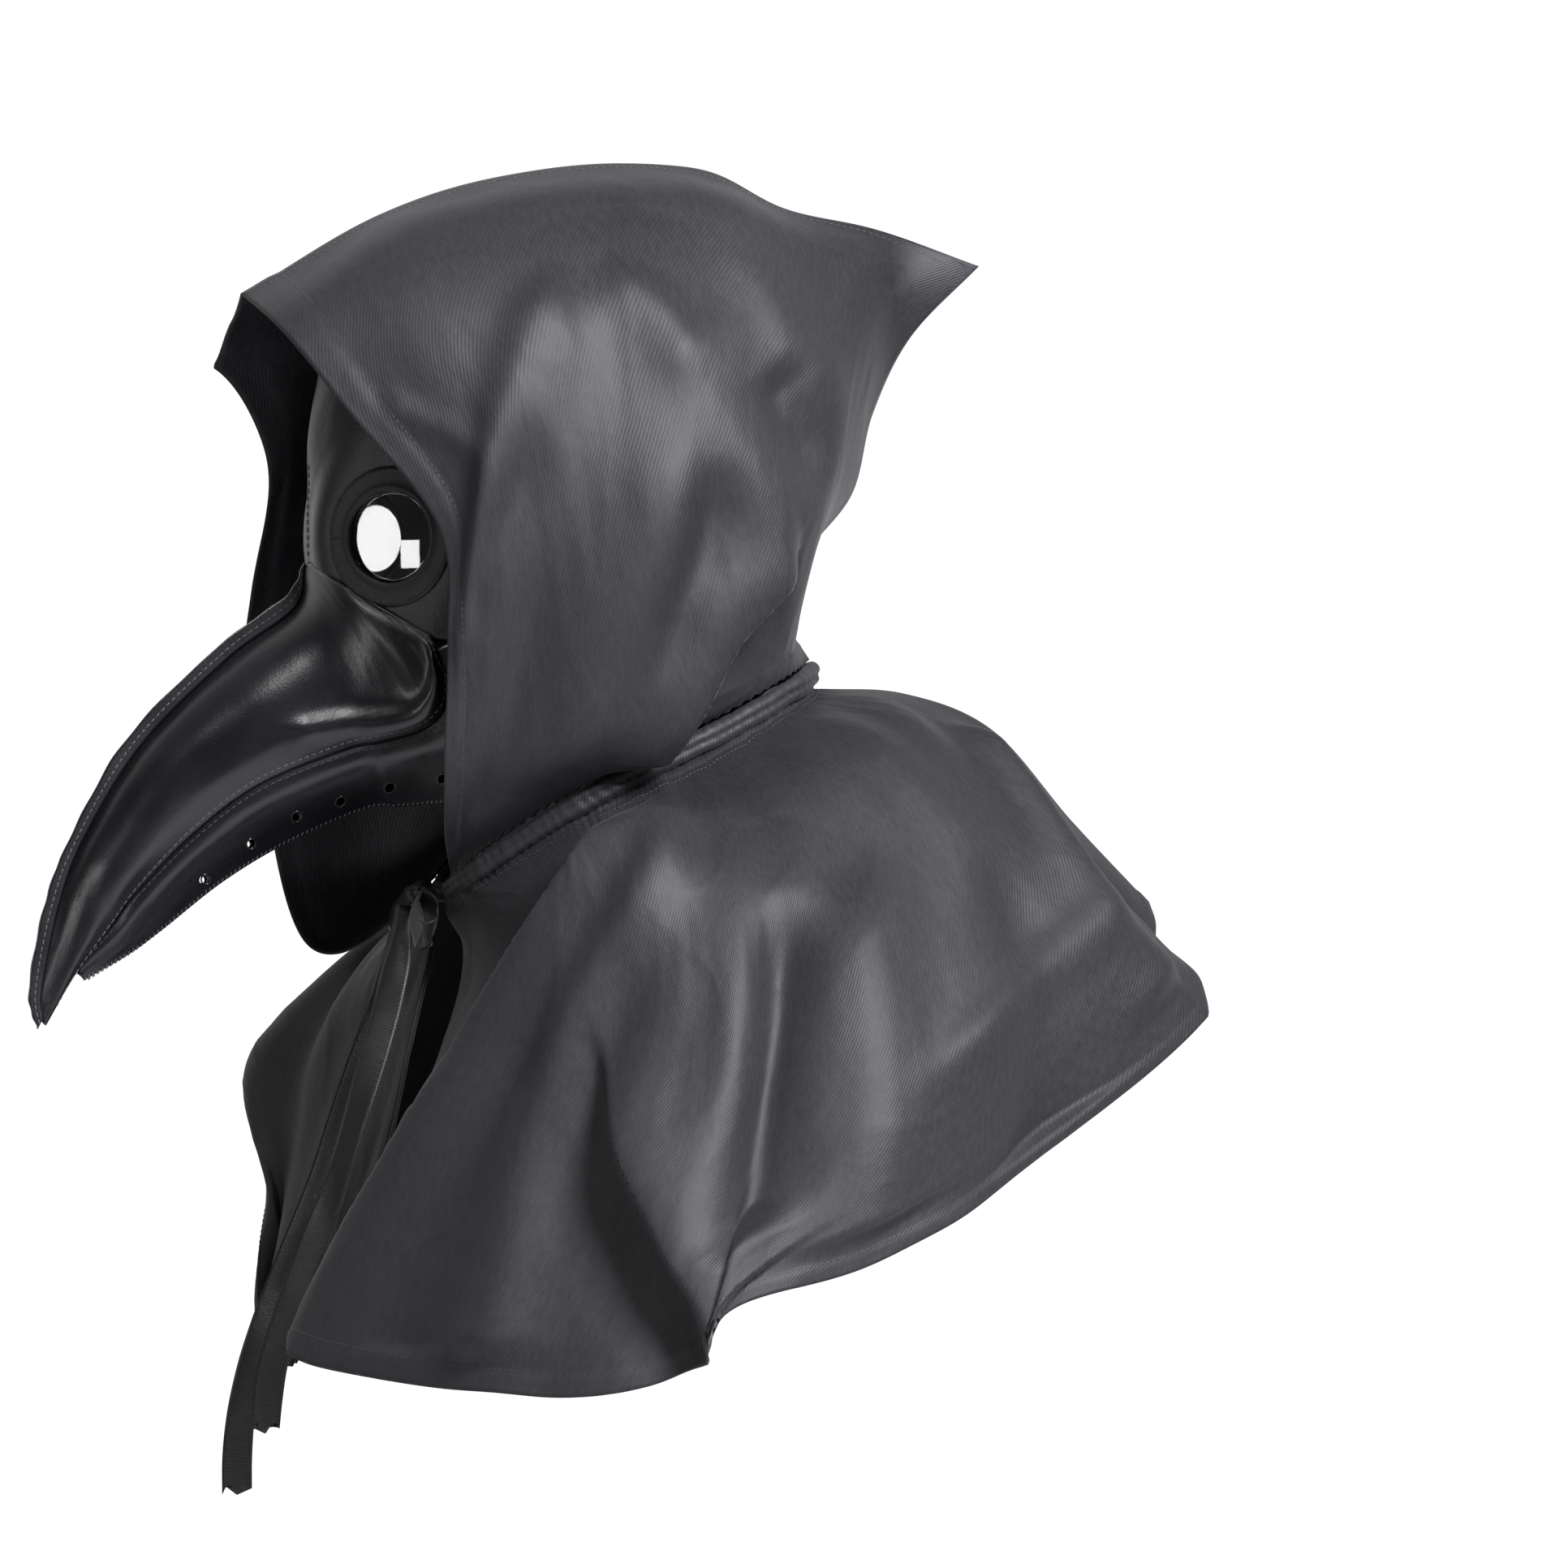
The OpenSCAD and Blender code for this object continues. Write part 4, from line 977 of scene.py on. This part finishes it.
CAPE_FOLDS_RIGHT = [
    ([(0.30, 0.05), (0.22, 0.30), (0.19, 0.55), (0.18, 0.75), (0.18, 0.97)], -8.0, 14, 18, 0.3, 0.05),
    ([(0.34, 0.25), (0.31, 0.50), (0.30, 0.75), (0.30, 0.98)], 5.0, 18, 18, 0.3, 0.05),
    ([(0.45, 0.10), (0.42, 0.40), (0.42, 0.70), (0.43, 0.97)], 8.0, 20, 22, 0.2, 0.05),
    ([(0.56, 0.20), (0.57, 0.50), (0.58, 0.80), (0.58, 0.99)], -9.0, 20, 20, 0.3, 0.05),
    ([(0.70, 0.15), (0.72, 0.45), (0.73, 0.75), (0.73, 0.97)], 8.0, 20, 20, 0.2, 0.05),
    ([(0.85, 0.30), (0.86, 0.60), (0.86, 0.98)], -6.0, 18, 18, 0.3, 0.05)]


def build_cape(net, side, name, folds, steps, seed, nodes):
    us, vs = np.linspace(0, 1, 231), np.linspace(0, 1, 151)
    grid = surface(net, us, vs)
    at = flat_coords(grid, us, vs)
    size = at[-1, -1]
    out = normals(grid, -side)
    relief = cloth_relief(at, seed) * 1.2
    for guide, height, left, right, start, end in folds:
        relief += 1.3 * fold(at, size, guide, height, left, right, start, end)
    for values in steps:
        relief += step(at, size, *values)
    v, u = vs[None, :], us[:, None]
    relief *= smooth(v / 0.14) * smooth((1 - u) / 0.06)
    ticks = np.sin(at[..., 0] * 2 * math.pi / 5.5 + 2.0 * waves(at, 40, seed + 7)) * np.exp(-at[..., 1] / 10)
    puckers = 0.8 * waves(at * [1, 0.3], 22, seed + 8) * np.exp(-at[..., 1] / 16)
    grid = grid + out * (relief + 0.7 * ticks + puckers * smooth((1 - u) / 0.06))[..., None]
    hem = 1.6 * np.sin(at[..., 0] / 17 + seed + waves(at, 60, seed + 9)) * np.exp(-(size[1] - at[..., 1]) / 14)
    grid = grid + out * (hem * smooth((1 - u) / 0.06))[..., None]
    grid = edge_roll(grid, -side, at, 10.0, 0.5, ["v1", "u0"])
    grid[:, 0] += [0, 0, 3.5]
    back_corner = np.exp(-np.abs(u - 0.875) / 0.03) * smooth((v - 0.6) / 0.4)
    grid[..., 1] += 7 * back_corner
    if side > 0:
        corner = np.where(u < 0.465, np.exp((u - 0.465) / 0.05), np.exp(-(u - 0.465) / 0.012)) * smooth((v - 0.7) / 0.3)
        grid += corner[..., None] * [0, 7, -13]
        grid[..., 1] += 6 * np.exp(-at[..., 0] / 25) * smooth(v / 0.15) * smooth((0.75 - v) / 0.3)
        grid[..., 1] -= 9 * np.exp(-(((u - 0.95) / 0.022) ** 2)) * smooth((v - 0.55) / 0.4)
    # The inner faces take the near-black satin: painted shade inside the cape
    obj = shell(name, grid, CLOTH_T, -side, satin, at, satin_back_painted_shade)
    finish_piece(obj, "cape", "satin", *nodes)
    out = normals(grid, -side)
    hem_column = 150 - int(round(9.0 / size[1] * 150))
    front_row = max(int(round(9.0 / size[0] * 230)), 2)
    parts = [stitches("hem_row", grid[:, hem_column], out[:, hem_column], thread_dark, 3.2, 2.3, 0.2),
             stitches("front_row", grid[front_row, 6:], out[front_row, 6:], thread_dark, 3.2, 2.3, 0.2),
             stitches("neck_row", grid[:, 3], out[:, 3], thread_dark, 2.6, 2.0, 0.22)]
    seam = finish_piece(joined(name + "_stitches", parts), "cape", "satin")
    return grid, at


def build_facing(grid, side, name, node):
    """Turned front edge inside the cape: a strip of the same cloth, set just inside the front edge."""
    strip = grid[:14, 8:-2] - (CLOTH_T + 0.5) * normals(grid, -side)[:14, 8:-2]
    at = np.stack(np.meshgrid(np.arange(14) * 2.2, np.arange(strip.shape[1]) * 1.9, indexing="ij"), -1)
    obj = shell(name, strip, 0.7, -side, satin, at)
    finish_piece(obj, "cape", "satin", node)


grid, _ = build_cape(CAPE_LEFT, 1, "cape_cloth_left", CAPE_FOLDS_LEFT, CAPE_STEPS_LEFT, 100, ("cape_left",))
build_facing(grid, 1, "facing_cloth_left", "facing_left")
grid, _ = build_cape(CAPE_RIGHT, -1, "cape_cloth_right", CAPE_FOLDS_RIGHT, [], 120, ("cape_right",))
build_facing(grid, -1, "facing_cloth_right", "facing_right")

# ---- bow ---------------------------------------------------------------------------------------
KNOT = np.array([2.0, -69.0, -167.0])


def turned(points, tilt, lean):
    """Turns points about Y by lean, then about X by -tilt, in degrees."""
    a, b = math.radians(lean), math.radians(-tilt)
    about_y = np.array([[math.cos(a), 0, math.sin(a)], [0, 1, 0], [-math.sin(a), 0, math.cos(a)]])
    about_x = np.array([[1, 0, 0], [0, math.cos(b), -math.sin(b)], [0, math.sin(b), math.cos(b)]])
    return points @ about_y.T @ about_x.T


def build_loop(name, node, at, lean, tilt, seed):
    """One crumpled loop of the bow: a ribbon that goes out and comes back."""
    a = np.linspace(0.06, 2 * math.pi - 0.06, 70)
    s = (1 - np.cos(a)) / 2
    path = np.stack([1.2 * np.sin(3 * a + seed), 6 * np.sin(a) * (0.35 + 0.65 * s), -36 * s], -1)
    path[:, 1] += 0.7 * np.sin(5 * a + seed)
    wide = 0.45 + 0.55 * smooth(s * 3)
    sections = np.stack([flat_section(RIBBON_W * w, 0.7, 9, 1.4 * math.sin(2.2 * x + seed)) for w, x in zip(wide, a)])
    rings = swept(path, [1, 0.15, 0], sections)
    rings = turned(rings.reshape(-1, 3), tilt, lean).reshape(rings.shape) + KNOT + at
    finish_piece(tube(name, rings, ribbon_satin), "cape", "ribbon", node)


def build_knot():
    """The knot: two turns of crumpled ribbon wrapped over each other."""
    parts = []
    for k, (turn, radius, shift) in enumerate(((0.2, 4.6, -1.2), (1.15, 5.4, 1.6))):
        a = np.linspace(0, 2 * math.pi, 60, endpoint=False)
        r = radius + 0.7 * np.sin(3 * a + k)
        c, s = math.cos(turn), math.sin(turn)
        ring = np.stack([s * np.cos(a) * r * 0.9, np.sin(a) * r * 0.8, c * np.cos(a) * r], -1)
        ring[:, 0] += shift + 1.0 * np.sin(2 * a)
        tangent = unit(np.roll(ring, -1, 0) - np.roll(ring, 1, 0))
        outward = unit(ring - [shift, 0, 0])
        across = unit(np.cross(tangent, outward))
        outward = np.cross(across, tangent)
        section = np.stack([flat_section(8.5 + math.sin(4 * x), 1.6, 11, 1.3) for x in a])
        wrinkle = 0.5 * np.sin(section[..., 0] * 2.4 + 3 * np.sin(a)[:, None])
        rings = ring[:, None] + across[:, None] * section[..., :1] + outward[:, None] * (section[..., 1:] + wrinkle[..., None])
        parts.append(tube("wrap", rings + KNOT, ribbon_satin, closed=True))
    finish_piece(joined("bow_knot_ribbon", parts), "cape", "ribbon", "bow_knot")


def build_lead(side):
    """Ribbon from the open end of the casing to the knot."""
    path = spline([[side * 29, -56, -165.5], [side * 20, -61, -167], [side * 12, -65.5, -167], [side * 4 + 2, -68, -167]],
                  np.linspace(0, 1, 24))
    widths = np.linspace(5.5, 8.0, 24)
    sections = np.stack([flat_section(w, 1.6, 9, 1.2 * math.sin(0.6 * i)) for i, w in enumerate(widths)])
    return tube("lead", swept(path, [0, 0, 1], sections), ribbon_satin)


build_knot()
build_loop("bow_loop_ribbon_left", "bow_loop_left", [11, -1, 1], -58, 4, 0.4)
build_loop("bow_loop_ribbon_right", "bow_loop_right", [-11, -2, 1], 54, 12, 1.7)
finish_piece(joined("ribbon_leads", [build_lead(1), build_lead(-1)]), "cape", "ribbon")


# ---- studio ------------------------------------------------------------------------------------
def add_floor():
    """Round pale floor under the hanging object, lower than the tails."""
    a = np.linspace(0, 2 * math.pi, 97)[:-1]
    rings = [np.stack([r * np.cos(a), r * np.sin(a), np.full(96, z)], -1) for r, z in ((1.3, -0.64), (1.3, -0.62), (0.01, -0.62))]
    tube("floor", np.stack(rings) / MM, floor_material())


def area_light(name, place, size, power, colour=(1, 1, 1), aim=(0, 0.03, -0.1), shape="RECTANGLE"):
    data = bpy.data.lights.new(name, "AREA")
    data.shape = shape
    data.size, data.size_y = size
    data.energy = power
    data.color = colour
    light = bpy.data.objects.new(name, data)
    light.location = place
    light.rotation_euler = (Vector(aim) - Vector(place)).to_track_quat("-Z", "Y").to_euler()
    bpy.context.scene.collection.objects.link(light)


def add_lights():
    area_light("key", (2.00, 0.95, 1.25), (0.8, 0.8), 164, (0.95, 0.96, 1.0))
    area_light("beak_gloss", (0.71, -1.01, 1.57), (0.32, 0.32), 10)
    area_light("front", (0.82, -2.15, 0.0), (0.31, 0.31), 3.6, shape="DISK")
    area_light("front_small", (1.015, -2.07, -0.075), (0.115, 0.135), 0.7)


def add_world():
    """Dim room with paler walls at eye height and a white screen behind the object."""
    world = bpy.data.worlds.new("studio")
    world.use_nodes = True
    nodes, links = world.node_tree.nodes, world.node_tree.links
    nodes["Background"].inputs["Color"].default_value = (1, 1, 1, 1)
    coords = add(nodes, "ShaderNodeTexCoord")
    parts = add(nodes, "ShaderNodeSeparateXYZ")
    links.new(coords.outputs["Generated"], parts.inputs[0])
    toward = add(nodes, "ShaderNodeVectorMath", operation="DOT_PRODUCT")
    toward.inputs[1].default_value = (-math.sin(VIEW_AZIMUTH), math.cos(VIEW_AZIMUTH), 0)
    links.new(coords.outputs["Generated"], toward.inputs[0])
    height = add(nodes, "ShaderNodeMapRange")
    for socket, value in zip(("From Min", "From Max", "To Min", "To Max"), (0.10, 0.45, 0.20, 0.04)):
        height.inputs[socket].default_value = value
    links.new(parts.outputs["Z"], height.inputs["Value"])
    screen = add(nodes, "ShaderNodeMapRange")
    for socket, value in zip(("From Min", "From Max", "To Min", "To Max"), (0.10, 0.96, 0.0, 0.9)):
        screen.inputs[socket].default_value = value
    links.new(toward.outputs["Value"], screen.inputs["Value"])
    front = add(nodes, "ShaderNodeMapRange")
    for socket, value in zip(("From Min", "From Max", "To Min", "To Max"), (-0.5, 0.4, 0.45, 1.0)):
        front.inputs[socket].default_value = value
    links.new(parts.outputs["Y"], front.inputs["Value"])
    room = add(nodes, "ShaderNodeMath", operation="MULTIPLY")
    links.new(height.outputs["Result"], room.inputs[0])
    links.new(front.outputs["Result"], room.inputs[1])
    total = add(nodes, "ShaderNodeMath", operation="ADD")
    links.new(room.outputs[0], total.inputs[0])
    links.new(screen.outputs["Result"], total.inputs[1])
    links.new(total.outputs[0], nodes["Background"].inputs["Strength"])
    bpy.context.scene.world = world


add_floor()
add_lights()
add_world()
scene = bpy.context.scene
scene.view_settings.view_transform = "Standard"
scene.view_settings.look = "None"
